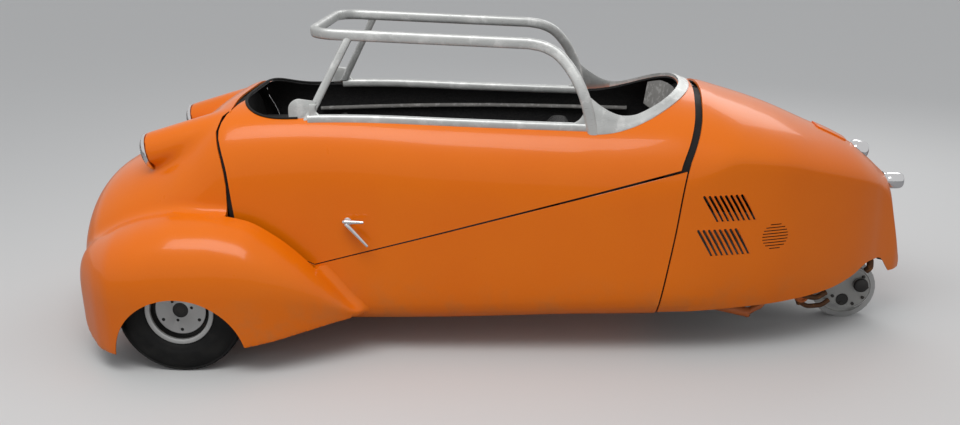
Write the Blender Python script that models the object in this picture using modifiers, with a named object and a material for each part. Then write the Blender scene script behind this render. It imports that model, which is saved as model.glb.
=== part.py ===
"""Three wheeled tandem two-seat microcar with a bare window frame.

Frame: X runs from the nose to the tail, Y to the car's right, Z up, in metres.
The named places are measured from the floor under the front wheels' axis. At the end
the whole car moves forward, so that the origin is on the floor under its middle.
"""

import bpy
import bmesh
from math import cos, sin, pi, radians, copysign
from mathutils import Matrix, Vector

# Whole car
FRONT_OVERHANG = 0.442
REAR_OVERHANG = 2.480
LENGTH = FRONT_OVERHANG + REAR_OVERHANG
MIDDLE_X = (REAR_OVERHANG - FRONT_OVERHANG) / 2
BODY_HALF_WIDTH = 0.43
BODY_HEIGHT = 0.875
SKIN = 0.014
TOUCH = 0.0003
SEAT = 0.0006
OVERRUN = 0.05
MOVING_GAP = 0.008

# Seams between the four body panels, drawn from the side
FRONT_SEAM = (
    # height, distance from the front axis
    (0.450, 0.166),
    (0.553, 0.155),
    (0.651, 0.143),
    (0.712, 0.127),
    (0.767, 0.112),
    (0.799, 0.119),
    (0.841, 0.158),
    (0.862, 0.215),
)
REAR_SEAM = (
    # height, distance from the front axis
    (0.150, 1.568),
    (0.432, 1.618),
    (0.655, 1.653),
    (0.742, 1.686),
    (0.796, 1.704),
    (0.844, 1.716),
    (0.875, 1.728),
)
FRONT_SEAM_GAP = 0.012
REAR_SEAM_GAP = 0.010
REAR_DECK_GAP = 0.028
CREASE_FRONT_X = 0.430
CREASE_FRONT_Z = 0.335
CREASE_REAR_Z = 0.655
CREASE_NOSE_X = 0.150
CREASE_NOSE_Z = 0.450
CREASE_GAP = 0.008

# Cockpit opening in the canopy
OPENING_FRONT_X = 0.178
OPENING_REAR_X = 1.655
SIDE_DECK = 0.093
OPENING_HALF_WIDTH = BODY_HALF_WIDTH - SIDE_DECK
OPENING_FRONT_POWER = 4.0
OPENING_REAR_POWER = 2.3
RAIL_FRONT_X = 0.430
RAIL_REAR_X = 1.337
OPENING_LOW_DROP = 0.015
OPENING_LOW_Z = CREASE_REAR_Z - OPENING_LOW_DROP

# Front wings
WING_HALF_WIDTH = 0.617
WING_FRONT_X = -0.395
WING_REAR_X = 0.590
WING_TOP_Z = 0.520
WING_WALL = 0.010
WING_CANOPY_GAP = 0.030
ARCH_CENTRE_X = 0.008
ARCH_HALF_LENGTH = 0.219
ARCH_BASE_Z = 0.060
ARCH_TOP_Z = 0.278

# Wheels
TRACK_HALF = 0.512
TYRE_RADIUS = 0.210
TYRE_WIDTH = 0.086
RIM_RADIUS = 0.1145
RIM_SEAT_RADIUS = 0.1010
RIM_WIDTH = 0.066
RIM_WALL = 0.004
HUB_BORE_RADIUS = 0.0260
DISC_DEPTH = 0.020
REAR_WHEEL_X = 2.290
AXLE_RADIUS = 0.013
AXLE_LOW_Z = 0.160
AXLE_HIGH_Z = 0.262

# Window frame
SILL_OUT = 0.0065
SILL_HALF_WIDTH = OPENING_HALF_WIDTH + SILL_OUT
SILL_THICK = 0.027
SILL_DEEP = 0.034
SILL_DROP = 0.006
SILL_POINTS = 8
CORNER_RADIUS = 0.030
CORNER_THICK = 0.016
CORNER_BACK = 0.008
CORNER_FRONT_X = 0.443
CORNER_REAR_X = 1.320
HOOP_OUT = 0.015
HOOP_HALF_WIDTH = OPENING_HALF_WIDTH + HOOP_OUT
ROOF_IN = 0.062
ROOF_HALF_WIDTH = HOOP_HALF_WIDTH - ROOF_IN
ROOF_FRONT_X = 0.428
ROOF_BEND_X = 1.140
ROOF_FRONT_Z = 1.080
ROOF_REAR_Z = 1.044
PILLAR_TOP_X = 0.560
ROOF_CORNER = 0.085
RAIL_THICK = 0.022
RAIL_DEEP = 0.036
PILLAR_WIDE = 0.026
PILLAR_THICK = 0.018
PILLAR_FOOT_X = 0.408
PILLAR_OUT = 0.004
PILLAR_FOOT_Y = OPENING_HALF_WIDTH + PILLAR_OUT

# Lamps
LAMP_X = -0.140
LAMP_Y = 0.255
LAMP_Z = 0.680
LAMP_RADIUS = 0.057
POD_FRONT_RADIUS = 0.064
POD_REAR_RADIUS = 0.088
POD_REAR_X = 0.190
POD_REAR_Y = 0.250
POD_REAR_Z = 0.754

RING_POINTS = 28
ROUND_STEPS = 28
SMALL_STEPS = 24
ROD_SIDES = 16
WELD = 0.00002


# Scene and helpers

def clear_scene():
    for item in list(bpy.data.objects):
        bpy.data.objects.remove(item, do_unlink=True)


clear_scene()
PARTS = bpy.data.collections.new("three_wheeled_car")
CUTTERS = bpy.data.collections.new("cutters")
bpy.context.scene.collection.children.link(PARTS)
bpy.context.scene.collection.children.link(CUTTERS)


def material(name, colour, roughness, metallic=0.0):
    made = bpy.data.materials.new(name)
    made.use_nodes = True
    shader = made.node_tree.nodes["Principled BSDF"]
    shader.inputs["Base Color"].default_value = (*colour, 1.0)
    shader.inputs["Roughness"].default_value = roughness
    shader.inputs["Metallic"].default_value = metallic
    made.diffuse_color = (*colour, 1.0)
    return made


PAINT = material("orange_paint", (0.80, 0.20, 0.01), 0.25)
ALLOY = material("worn_aluminium", (0.60, 0.61, 0.60), 0.35, 1.0)
CHROME = material("chrome", (0.80, 0.80, 0.80), 0.12, 1.0)
RUBBER = material("tyre_rubber", (0.02, 0.02, 0.02), 0.75)
STEEL = material("dark_steel", (0.10, 0.09, 0.08), 0.55, 0.8)
VINYL = material("black_vinyl", (0.02, 0.02, 0.02), 0.55)
DARK = material("dark_trim", (0.03, 0.03, 0.03), 0.6)


def new_object(name, mesh, collection, finish=None):
    made = bpy.data.objects.new(name, mesh)
    collection.objects.link(made)
    if finish:
        mesh.materials.clear()
        mesh.materials.append(finish)
    return made


def as_cutter(item):
    item.hide_render = True
    item.display_type = "WIRE"
    return item


def from_bmesh(name, shape, collection, finish=None):
    bmesh.ops.recalc_face_normals(shape, faces=shape.faces)
    mesh = bpy.data.meshes.new(name)
    shape.to_mesh(mesh)
    shape.free()
    return new_object(name, mesh, collection, finish)


def baked(item):
    """Replace an object's mesh by its evaluated one, welded and closed."""
    bpy.context.view_layer.update()
    graph = bpy.context.evaluated_depsgraph_get()
    mesh = bpy.data.meshes.new_from_object(item.evaluated_get(graph))
    name, place = item.name, item.matrix_world.copy()
    collection = item.users_collection[0]
    finish = item.data.materials[0] if item.data.materials else None
    bpy.data.objects.remove(item, do_unlink=True)
    shape = bmesh.new()
    shape.from_mesh(mesh)
    bmesh.ops.remove_doubles(shape, verts=shape.verts, dist=WELD)
    shape.to_mesh(mesh)
    shape.free()
    made = new_object(name, mesh, collection, finish)
    made.matrix_world = place
    return made


def boolean(item, tool, operation):
    step = item.modifiers.new(operation.lower(), "BOOLEAN")
    step.operation = operation
    step.solver = "EXACT"
    step.object = tool
    return baked(item)


def cut(item, *tools):
    for tool in tools:
        item = boolean(item, tool, "DIFFERENCE")
    return item


def joined(item, *others):
    for other in others:
        item = boolean(item, other, "UNION")
        bpy.data.objects.remove(other, do_unlink=True)
    return item


def origin_to(item, point):
    """Put the object's origin on a point, such as one of its joint's axis."""
    point = Vector(point)
    item.data.transform(Matrix.Translation(-point) @ item.matrix_world)
    item.matrix_world = Matrix.Translation(point)
    return item


def prism(name, outline, low, high, axis, collection=CUTTERS, finish=None):
    """A flat outline pulled along one axis, from low to high."""
    shape = bmesh.new()
    place = {
        "X": lambda a, b: (low, a, b),
        "Y": lambda a, b: (a, low, b),
        "Z": lambda a, b: (a, b, low),
    }[axis]
    face = shape.faces.new([shape.verts.new(place(a, b)) for a, b in outline])
    pulled = bmesh.ops.extrude_face_region(shape, geom=[face])["geom"]
    moved = [v for v in pulled if isinstance(v, bmesh.types.BMVert)]
    way = Vector([high - low if letter == axis else 0 for letter in "XYZ"])
    bmesh.ops.translate(shape, verts=moved, vec=way)
    made = from_bmesh(name, shape, collection, finish)
    return as_cutter(made) if collection is CUTTERS else made


def block(name, low, high, collection=PARTS, finish=None):
    shape = bmesh.new()
    bmesh.ops.create_cube(shape, size=1)
    size = [b - a for a, b in zip(low, high)]
    middle = [(a + b) / 2 for a, b in zip(low, high)]
    bmesh.ops.scale(shape, vec=size, verts=shape.verts)
    bmesh.ops.translate(shape, vec=middle, verts=shape.verts)
    made = from_bmesh(name, shape, collection, finish)
    return as_cutter(made) if collection is CUTTERS else made


def rod(name, start, end, radius, end_radius=None, collection=PARTS, finish=None, sides=ROD_SIDES):
    start, end = Vector(start), Vector(end)
    shape = bmesh.new()
    bmesh.ops.create_cone(
        shape, cap_ends=True, segments=sides, depth=(end - start).length,
        radius1=radius, radius2=radius if end_radius is None else end_radius)
    turn = Vector((0, 0, 1)).rotation_difference(end - start).to_matrix().to_4x4()
    bmesh.ops.transform(
        shape, matrix=Matrix.Translation((start + end) / 2) @ turn, verts=shape.verts)
    made = from_bmesh(name, shape, collection, finish)
    return as_cutter(made) if collection is CUTTERS else made


def turned(name, profile, centre, direction, finish, steps=ROUND_STEPS):
    """A profile of (radius, height) points, closed, turned round a line."""
    mesh = bpy.data.meshes.new(name)
    points = [(radius, 0, height) for radius, height in profile]
    edges = [(i, (i + 1) % len(points)) for i in range(len(points))]
    if min(radius for radius, height in profile) == 0:
        edges.pop()
    mesh.from_pydata(points, edges, [])
    made = new_object(name, mesh, PARTS, finish)
    spin = made.modifiers.new("turn", "SCREW")
    spin.steps = steps
    spin.render_steps = steps
    spin.use_merge_vertices = True
    spin.merge_threshold = WELD
    made = baked(made)
    shape = bmesh.new()
    shape.from_mesh(made.data)
    bmesh.ops.recalc_face_normals(shape, faces=shape.faces)
    shape.to_mesh(made.data)
    shape.free()
    turn = Vector((0, 0, 1)).rotation_difference(Vector(direction)).to_matrix().to_4x4()
    made.data.transform(Matrix.Translation(Vector(centre)) @ turn)
    return made


def tube(name, points, radius, collection=PARTS, finish=None, sides=3, smooth=False):
    """A round bar along a route of points."""
    data = bpy.data.curves.new(name, "CURVE")
    data.dimensions = "3D"
    data.bevel_depth = radius
    data.bevel_resolution = sides
    data.use_fill_caps = True
    line = data.splines.new("NURBS" if smooth else "POLY")
    line.points.add(len(points) - 1)
    for point, place in zip(line.points, points):
        point.co = (*place, 1)
    if smooth:
        line.use_endpoint_u = True
        line.order_u = 3
        line.resolution_u = 4
    made = new_object(name, data, collection)
    if finish:
        data.materials.append(finish)
    return baked(made)


def loft(name, rings, collection, finish=None):
    """Skin a row of rings that all have the same number of points."""
    shape = bmesh.new()
    rows = [[shape.verts.new(point) for point in ring] for ring in rings]
    count = len(rows[0])
    for near, far in zip(rows, rows[1:]):
        for i in range(count):
            j = (i + 1) % count
            a, b, c, d = near[i], near[j], far[j], far[i]
            left = a.co.y + b.co.y < 0
            shape.faces.new((a, b, c) if left else (a, b, d))
            shape.faces.new((a, c, d) if left else (b, c, d))
    shape.faces.new(rows[0])
    shape.faces.new(rows[-1])
    made = from_bmesh(name, shape, collection, finish)
    return as_cutter(made) if collection is CUTTERS else made


def sweep(name, path, outward, thick, deep, finish):
    """A flat bar along a path; outward is the way that its thickness faces."""
    path = [Vector(point) for point in path]
    edge_share = 0.25
    half = [(-1, -1 + edge_share), (-1, 1 - edge_share), (-1 + edge_share, 1),
            (1 - edge_share, 1), (1, 1 - edge_share), (1, -1 + edge_share),
            (1 - edge_share, -1), (-1 + edge_share, -1)]
    rings = []
    for i, point in enumerate(path):
        ahead = path[min(i + 1, len(path) - 1)] - path[max(i - 1, 0)]
        ahead.normalize()
        out = Vector(outward[i] if isinstance(outward, list) else outward)
        out = (out - ahead * out.dot(ahead)).normalized()
        across = ahead.cross(out)
        rings.append([point + out * a * thick / 2 + across * b * deep / 2 for a, b in half])
    return loft(name, rings, PARTS, finish)


def hermite(xs, ys, x):
    """A smooth value between the columns of a table, without overshoot at its ends."""
    if x <= xs[0]:
        return ys[0]
    if x >= xs[-1]:
        return ys[-1]
    k = max(i for i in range(len(xs) - 1) if xs[i] <= x)
    slopes = [(ys[i + 1] - ys[i]) / (xs[i + 1] - xs[i]) for i in range(len(xs) - 1)]

    def tangent(i):
        if i == 0:
            return slopes[0]
        if i == len(xs) - 1:
            return slopes[-1]
        if slopes[i - 1] * slopes[i] <= 0:
            return 0
        return 2 * slopes[i - 1] * slopes[i] / (slopes[i - 1] + slopes[i])

    step = xs[k + 1] - xs[k]
    t = (x - xs[k]) / step
    return ((2 * t ** 3 - 3 * t ** 2 + 1) * ys[k] + (t ** 3 - 2 * t ** 2 + t) * step * tangent(k)
            + (3 * t ** 2 - 2 * t ** 3) * ys[k + 1] + (t ** 3 - t ** 2) * step * tangent(k + 1))


# Body form, as shares of the length, the half width and the height
BODY_SHARES = (
    # along, half_width, bottom, widest, top, upper_power, lower_power
    (0.0000, 0.20, 0.240, 0.320, 0.385, 2.0, 2.0),
    (0.0031, 0.42, 0.180, 0.320, 0.450, 2.0, 2.1),
    (0.0110, 0.62, 0.130, 0.320, 0.530, 2.1, 2.3),
    (0.0240, 0.78, 0.105, 0.320, 0.610, 2.2, 2.6),
    (0.0431, 0.895, 0.097, 0.320, 0.670, 2.3, 3.0),
    (0.0755, 0.955, 0.103, 0.340, 0.725, 2.4, 3.4),
    (0.1165, 0.968, 0.110, 0.366, 0.795, 2.6, 4.0),
    (0.1514, 0.975, 0.112, 0.400, 0.870, 3.1, 5.0),
    (0.2024, 0.977, 0.120, 0.480, 0.971, 3.9, 7.0),
    (0.3053, 0.980, 0.127, 0.514, 0.989, 4.0, 10.0),
    (0.4552, 1.000, 0.137, 0.549, 0.989, 3.3, 10.0),
    (0.6150, 1.000, 0.153, 0.580, 0.994, 2.7, 10.0),
    (0.7057, 0.990, 0.155, 0.650, 1.000, 2.4, 10.0),
    (0.7399, 0.972, 0.140, 0.710, 0.993, 2.1, 9.0),
    (0.7731, 0.930, 0.115, 0.762, 0.965, 1.9, 8.0),
    (0.8196, 0.850, 0.100, 0.748, 0.915, 1.8, 7.0),
    (0.8700, 0.705, 0.100, 0.704, 0.843, 1.8, 6.0),
    (0.9244, 0.500, 0.100, 0.646, 0.757, 1.8, 5.5),
    (0.9487, 0.375, 0.105, 0.610, 0.694, 1.8, 5.0),
    (0.9614, 0.295, 0.115, 0.580, 0.655, 1.8, 4.5),
    (0.9744, 0.225, 0.130, 0.530, 0.608, 1.9, 4.0),
    (0.9829, 0.180, 0.145, 0.440, 0.500, 2.0, 3.5),
    (0.9915, 0.130, 0.165, 0.340, 0.385, 2.0, 3.0),
    (1.0000, 0.050, 0.205, 0.245, 0.280, 2.0, 2.0),
)
BODY_STATIONS = 28
CROWDING_SHARE = 0.65


def body_values(along):
    columns = list(zip(*BODY_SHARES))
    return [hermite(columns[0], column, along) for column in columns[1:]]


def body_ring(along, inset):
    half, bottom, widest, top, upper, lower = body_values(along)
    half = half * BODY_HALF_WIDTH - inset
    bottom = bottom * BODY_HEIGHT + inset
    top = top * BODY_HEIGHT - inset
    widest = widest * BODY_HEIGHT
    ring = []
    for i in range(RING_POINTS):
        turn = 2 * pi * (i + 0.5) / RING_POINTS
        power = upper if sin(turn) > 0 else lower
        rise = top - widest if sin(turn) > 0 else widest - bottom
        y = half * copysign(abs(cos(turn)) ** (2 / power), cos(turn))
        z = widest + rise * copysign(abs(sin(turn)) ** (2 / power), sin(turn))
        ring.append((y, z))
    return ring


def body_stations():
    """Stations that crowd towards both ends, where the form curves most."""
    places = []
    for i in range(BODY_STATIONS + 1):
        t = i / BODY_STATIONS
        places.append((1 - cos(pi * t)) / 2 * CROWDING_SHARE + t * (1 - CROWDING_SHARE))
    return places


def body_solid(name, inset=0.0, ends_share=(0.0, 1.0)):
    """The whole body's form, drawn in by an inset, or out where it is negative."""
    rings = []
    low_share, high_share = ends_share
    for along in (place for place in body_stations() if low_share <= place <= high_share):
        x = along * (LENGTH - 2 * inset) - FRONT_OVERHANG + inset
        rings.append([(x, y, z) for y, z in body_ring(along, inset)])
    return loft(name, rings, CUTTERS)


def body_surface(x, y, grow=0.0):
    """Height of the body's upper skin over a place on the plan."""
    half, bottom, widest, top, upper, lower = body_values((x + FRONT_OVERHANG) / LENGTH)
    widest = widest * BODY_HEIGHT
    rise = top * BODY_HEIGHT - widest
    across = min(abs(y) / (half * BODY_HALF_WIDTH), 1)
    return widest + rise * (1 - across ** upper) ** (1 / upper) + grow


def body_side(x, z):
    """Half width of the body's skin at a place seen from the side."""
    half, bottom, widest, top, upper, lower = body_values((x + FRONT_OVERHANG) / LENGTH)
    rise = (top if z > widest * BODY_HEIGHT else bottom) * BODY_HEIGHT - widest * BODY_HEIGHT
    power = upper if rise > 0 else lower
    up = min((z - widest * BODY_HEIGHT) / rise, 1)
    return half * BODY_HALF_WIDTH * (1 - up ** power) ** (1 / power)


def between(table, z):
    """The place of a seam at a height, straight between the rows of its table."""
    if z <= table[0][0]:
        return table[0][1]
    for (low, near), (high, far) in zip(table, table[1:]):
        if z <= high:
            return near + (far - near) * (z - low) / (high - low)
    return table[-1][1]


def line(table, low, high, shift=0.0):
    """A seam's points from one height up to another, moved along the car."""
    heights = [low] + [z for z, x in table if low < z < high] + [high]
    return [(between(table, z) + shift, z) for z in heights]


def seam_x(z, shift=0.0):
    """The rear seam leans back, and more so above the crease."""
    return between(REAR_SEAM, z) + shift


def crease_z(x, shift=0.0):
    """The seam under the canopy's sides falls to the wing, then climbs to the tail."""
    if x < CREASE_FRONT_X:
        lean = (CREASE_FRONT_Z - CREASE_NOSE_Z) / (CREASE_FRONT_X - CREASE_NOSE_X)
        return CREASE_NOSE_Z + lean * (x - CREASE_NOSE_X) + shift
    end = seam_x(CREASE_REAR_Z)
    lean = (CREASE_REAR_Z - CREASE_FRONT_Z) / (end - CREASE_FRONT_X)
    return CREASE_FRONT_Z + lean * (x - CREASE_FRONT_X) + shift


LOW_Z = -OVERRUN
HIGH_Z = BODY_HEIGHT + 4 * OVERRUN
WIDE = BODY_HALF_WIDTH + 6 * OVERRUN

body_outer = body_solid("body_outer")
body_inner = body_solid("body_inner", SKIN)
body_touch = body_solid("body_touch", -SEAT)
CAVITY_SHARE = (0.02, 0.90)
body_cavity = body_solid("body_cavity", SKIN + SEAT, CAVITY_SHARE)
canopy_cavity = body_solid("canopy_cavity", SKIN + MOVING_GAP, CAVITY_SHARE)


def body_panel(name, outline):
    """The part of the body's skin that lies inside an outline drawn from the side."""
    region = prism(name + "_region", outline, -WIDE, WIDE, "Y")
    panel = new_object(name, body_outer.data.copy(), PARTS, PAINT)
    panel = boolean(panel, region, "INTERSECT")
    bpy.data.objects.remove(region, do_unlink=True)
    return panel


# Nose with its two lamp pods
def make_nose():
    far = -FRONT_OVERHANG - OVERRUN
    nose = body_panel("nose_shell", [(far, LOW_Z), *line(FRONT_SEAM, LOW_Z, HIGH_Z), (far, HIGH_Z)])
    for side in (-1, 1):
        pod = rod("pod", (LAMP_X, side * LAMP_Y, LAMP_Z), (POD_REAR_X, side * POD_REAR_Y, POD_REAR_Z),
                  POD_FRONT_RADIUS, POD_REAR_RADIUS, sides=SMALL_STEPS)
        nose = joined(nose, pod)
    back = prism("nose_back", [
        *line(FRONT_SEAM, LOW_Z - OVERRUN, HIGH_Z + OVERRUN), (CREASE_FRONT_X, HIGH_Z + OVERRUN),
        (CREASE_FRONT_X, LOW_Z - OVERRUN)], -WIDE - OVERRUN, WIDE + OVERRUN, "Y")
    nose = cut(nose, body_inner, back)
    for z in (AXLE_LOW_Z, AXLE_HIGH_Z):
        nose = cut(nose, rod("axle_hole", (0, -WIDE, z), (0, WIDE, z), AXLE_RADIUS + SEAT,
                             collection=CUTTERS))
    return nose


def make_headlamp(name, side):
    """A chrome bezel with a domed glass, seated on the pod's front face."""
    rim_depth_share, dome_share = 0.20, 0.35
    radius = POD_FRONT_RADIUS
    depth = radius * rim_depth_share
    dome = [(LAMP_RADIUS * cos(a), depth + LAMP_RADIUS * dome_share * sin(a))
            for a in (radians(step) for step in (0, 30, 60, 90))]
    dome[-1] = (0, dome[-1][1])
    profile = [(0, 0), (radius * 0.96, 0), (radius, depth / 2), (radius * 0.96, depth), *dome]
    way = Vector((LAMP_X, side * LAMP_Y, LAMP_Z)) - Vector((POD_REAR_X, side * POD_REAR_Y, POD_REAR_Z))
    way.normalize()
    place = Vector((LAMP_X, side * LAMP_Y, LAMP_Z)) + way * TOUCH
    return cut(turned(name, profile, place, way, CHROME, SMALL_STEPS), body_touch)


# Lower tub
def make_tub():
    low_z, rear_z = CREASE_NOSE_Z - CREASE_GAP, CREASE_REAR_Z - CREASE_GAP
    front = line(FRONT_SEAM, LOW_Z, low_z, TOUCH)
    rear = line(REAR_SEAM, LOW_Z, rear_z, -REAR_SEAM_GAP)
    outline = [*rear, (CREASE_FRONT_X, CREASE_FRONT_Z - CREASE_GAP), *reversed(front)]
    return cut(body_panel("tub", outline), body_inner)


# Canopy: cowl, upper sides and rear deck in one pressing
def opening_outline(side_grow=0.0, end_grow=0.0):
    """The cockpit's edge in plan, with a blunt front end and a rounder rear end."""
    points = []
    half = OPENING_HALF_WIDTH + side_grow
    ends = ((RAIL_FRONT_X, OPENING_FRONT_X - RAIL_FRONT_X - end_grow, OPENING_FRONT_POWER),
            (RAIL_REAR_X, OPENING_REAR_X - RAIL_REAR_X + end_grow, OPENING_REAR_POWER))
    for middle, reach, power in ends:
        side = copysign(1, -reach)
        for step in range(OPENING_POINTS + 1):
            turn = -pi / 2 + pi * step / OPENING_POINTS
            x = middle + reach * abs(cos(turn)) ** (2 / power)
            points.append((x, half * copysign(abs(sin(turn)) ** (2 / power), -side * turn)))
    return points


OPENING_POINTS = 14


def make_canopy():
    front = line(FRONT_SEAM, crease_z(FRONT_SEAM[0][1]), HIGH_Z, FRONT_SEAM_GAP)
    rear = line(REAR_SEAM, CREASE_REAR_Z, HIGH_Z, -REAR_DECK_GAP)
    opening = prism("opening", opening_outline(), OPENING_LOW_Z, HIGH_Z + OVERRUN, "Z")
    panel = body_panel("canopy_shell", [*front, *reversed(rear), (CREASE_FRONT_X, CREASE_FRONT_Z)])
    return cut(panel, body_inner, opening)


# Tail cover with its louvres and the slot for the wheel
LOUVRE_COUNT = 8
LOUVRE_PITCH = 0.0177
LOUVRE_SLOT = 0.009
LOUVRE_LEAN = 0.0465
LOUVRE_ROWS = (
    # first slot's top x, top z, height
    (1.699, 0.572, 0.089),
    (1.685, 0.458, 0.091),
)
TAIL_HEM = (
    # distance from the front axis, height
    (1.568, 0.158),
    (1.849, 0.172),
    (2.065, 0.180),
    (2.175, 0.194),
    (2.257, 0.223),
    (2.335, 0.262),
    (2.375, 0.262),
    (2.431, 0.195),
)
TAIL_HOOK_Z = 0.184


def make_tail():
    far = REAR_OVERHANG + OVERRUN
    outline = [*line(REAR_SEAM, LOW_Z, HIGH_Z), (far, HIGH_Z), (far, LOW_Z)]
    tail = cut(body_panel("tail_shell", outline), body_inner)
    low, near, far = LOW_Z - OVERRUN, TAIL_HEM[0][0] - 2 * OVERRUN, far + OVERRUN
    hem = prism("hem", [
        (near, low), (near, TAIL_HEM[0][1]), *TAIL_HEM, (far, TAIL_HOOK_Z), (far, low)],
        -WIDE - OVERRUN, WIDE + OVERRUN, "Y")
    slots = []
    for top_x, top_z, height in LOUVRE_ROWS:
        for i in range(LOUVRE_COUNT):
            x = top_x + i * LOUVRE_PITCH
            slots.append(prism("slot", [
                (x, top_z), (x + LOUVRE_LEAN, top_z - height),
                (x + LOUVRE_LEAN + LOUVRE_SLOT, top_z - height), (x + LOUVRE_SLOT, top_z)],
                -WIDE, WIDE, "Y"))
    return cut(tail, hem, *slots)


# Front wings, drawn for the left side as shares of their own length, width and height
WING_SHARES = (
    # along, half_width, top, bottom
    (0.000, 0.600, 0.60, 0.300),
    (0.030, 0.700, 0.70, 0.220),
    (0.070, 0.790, 0.775, 0.170),
    (0.125, 0.890, 0.840, 0.140),
    (0.190, 0.960, 0.905, 0.140),
    (0.290, 0.995, 0.965, 0.150),
    (0.400, 1.000, 1.000, 0.160),
    (0.520, 0.998, 1.000, 0.180),
    (0.620, 0.985, 0.970, 0.205),
    (0.710, 0.950, 0.880, 0.230),
    (0.800, 0.890, 0.745, 0.260),
    (0.890, 0.810, 0.560, 0.285),
    (0.960, 0.745, 0.400, 0.300),
    (1.000, 0.710, 0.335, 0.310),
)
WING_STATIONS = 17
WING_ARC = 6
WING_INNER_Y = 0.330
WING_SHOULDER_SHARE = 0.55
WING_HEM_SHARE = 0.985
WING_ARC_SHARE = 0.76


def wing_solid(name, side, inset, drop):
    columns = list(zip(*WING_SHARES))
    rings = []
    for k in range(WING_STATIONS + 1):
        along = k / WING_STATIONS
        half, top, bottom = [hermite(columns[0], column, along) for column in columns[1:]]
        x = WING_FRONT_X + inset + along * (WING_REAR_X - WING_FRONT_X - 2 * inset)
        outer = half * WING_HALF_WIDTH - inset
        top = top * WING_TOP_Z - inset
        low = bottom * WING_TOP_Z - drop
        inner = WING_INNER_Y
        middle = top - (top - low) * WING_SHOULDER_SHARE
        ring = [(x, side * inner, low), (x, side * outer * WING_HEM_SHARE, low)]
        for i in range(WING_ARC + 1):
            turn = pi / 2 * i / WING_ARC
            y = inner + (outer - inner) * cos(turn) ** WING_ARC_SHARE
            z = middle + (top - middle) * sin(turn) ** WING_ARC_SHARE
            ring.append((x, side * y, z))
        rings.append(ring)
    return loft(name, rings, CUTTERS)


def arch_outline():
    rise = ARCH_TOP_Z - ARCH_BASE_Z
    points = [(ARCH_CENTRE_X - ARCH_HALF_LENGTH, LOW_Z)]
    for step in range(17):
        turn = pi - pi * step / 16
        points.append((ARCH_CENTRE_X + ARCH_HALF_LENGTH * cos(turn), ARCH_BASE_Z + rise * sin(turn)))
    points.append((ARCH_CENTRE_X + ARCH_HALF_LENGTH, LOW_Z))
    return points


def make_wing(name, side):
    outer = wing_solid(name + "_outer", side, 0.0, 0.0)
    inner = wing_solid(name + "_inner", side, WING_WALL, OVERRUN)
    wing = new_object(name, outer.data.copy(), PARTS, PAINT)
    low, high = sorted((side * (WING_INNER_Y + 2 * OVERRUN), side * WIDE))
    arch = prism(name + "_arch", arch_outline(), low, high, "Y")
    clear = body_clear
    wing = cut(wing, inner, body_touch, clear, arch)
    for tool in (outer, inner, arch):
        bpy.data.objects.remove(tool, do_unlink=True)
    return wing


nose = make_nose()
tub = make_tub()
canopy = make_canopy()
tail = make_tail()

# Room for the canopy's sides beside the wings
clear_form = body_solid("clear_form", -WING_CANOPY_GAP)
clear_low = crease_z(CREASE_FRONT_X, -CREASE_GAP)
clear_region = prism("clear_region", [
    (CREASE_NOSE_X, crease_z(CREASE_NOSE_X, -CREASE_GAP)), (CREASE_FRONT_X, clear_low),
    (WING_REAR_X + OVERRUN, clear_low + OVERRUN), (WING_REAR_X + OVERRUN, HIGH_Z),
    (CREASE_NOSE_X, HIGH_Z)], -WIDE, WIDE, "Y")
body_clear = boolean(clear_form, clear_region, "INTERSECT")
as_cutter(body_clear)

for word, side in (("left", -1), ("right", 1)):
    make_wing("front_wing_" + word, side)
    make_headlamp("headlamp_" + word, side)


# Window frame: two sill rails, two pillars, a roof rail that loops round, and the rear band
HOOP = (
    # distance from the front axis, distance inwards from the hoop's foot, height
    (1.322, 0.006, 0.867),
    (1.296, 0.016, 0.929),
    (1.267, 0.030, 0.975),
    (1.226, 0.046, 1.016),
    (1.182, 0.057, 1.036),
)
HOOP_FOOT_X = 1.350
ARC_STEPS = 6
GUSSET_FRONT_X = 0.362
GUSSET_HIGH_Z = 0.872
GUSSET_THICK = 0.006


def sill_z(x):
    return body_surface(x, OPENING_HALF_WIDTH, -SILL_DROP)


def make_sill_bar(name, side):
    path = []
    for i in range(SILL_POINTS):
        x = RAIL_FRONT_X + (RAIL_REAR_X - RAIL_FRONT_X) * i / (SILL_POINTS - 1)
        path.append((x, side * SILL_HALF_WIDTH, sill_z(x)))
    return sweep(name, path, (0, side, 0), SILL_THICK, SILL_DEEP, ALLOY)


def make_corner(x, side, way):
    """A filler with a hollow quarter round between a bar and the sill rail."""
    r = CORNER_RADIUS
    z = sill_z(x) + SILL_DEEP / 2 - SEAT
    points = [(x - way * CORNER_BACK, z - r / 2), (x + way * r, z - r / 2)]
    for step in range(ARC_STEPS + 1):
        turn = pi / 2 * step / ARC_STEPS
        points.append((x + way * (r - r * sin(turn)), z + r - r * cos(turn)))
    points.append((x - way * CORNER_BACK, z + r))
    half = CORNER_THICK / 2
    low, high = sorted((side * (SILL_HALF_WIDTH - half), side * (SILL_HALF_WIDTH + half)))
    return prism("corner", points, low, high, "Y", PARTS, ALLOY)


def finish_sill_rail(rail, side, roof, pillar):
    for x, way in ((CORNER_FRONT_X, 1), (CORNER_REAR_X, -1)):
        rail = joined(rail, make_corner(x, side, way))
    return cut(rail, grown(canopy, SEAT), grown(roof, SEAT), grown(pillar, SEAT))


def roof_z(x):
    slope = (ROOF_REAR_Z - ROOF_FRONT_Z) / (ROOF_BEND_X - ROOF_FRONT_X)
    return ROOF_FRONT_Z + slope * (x - ROOF_FRONT_X)


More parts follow.
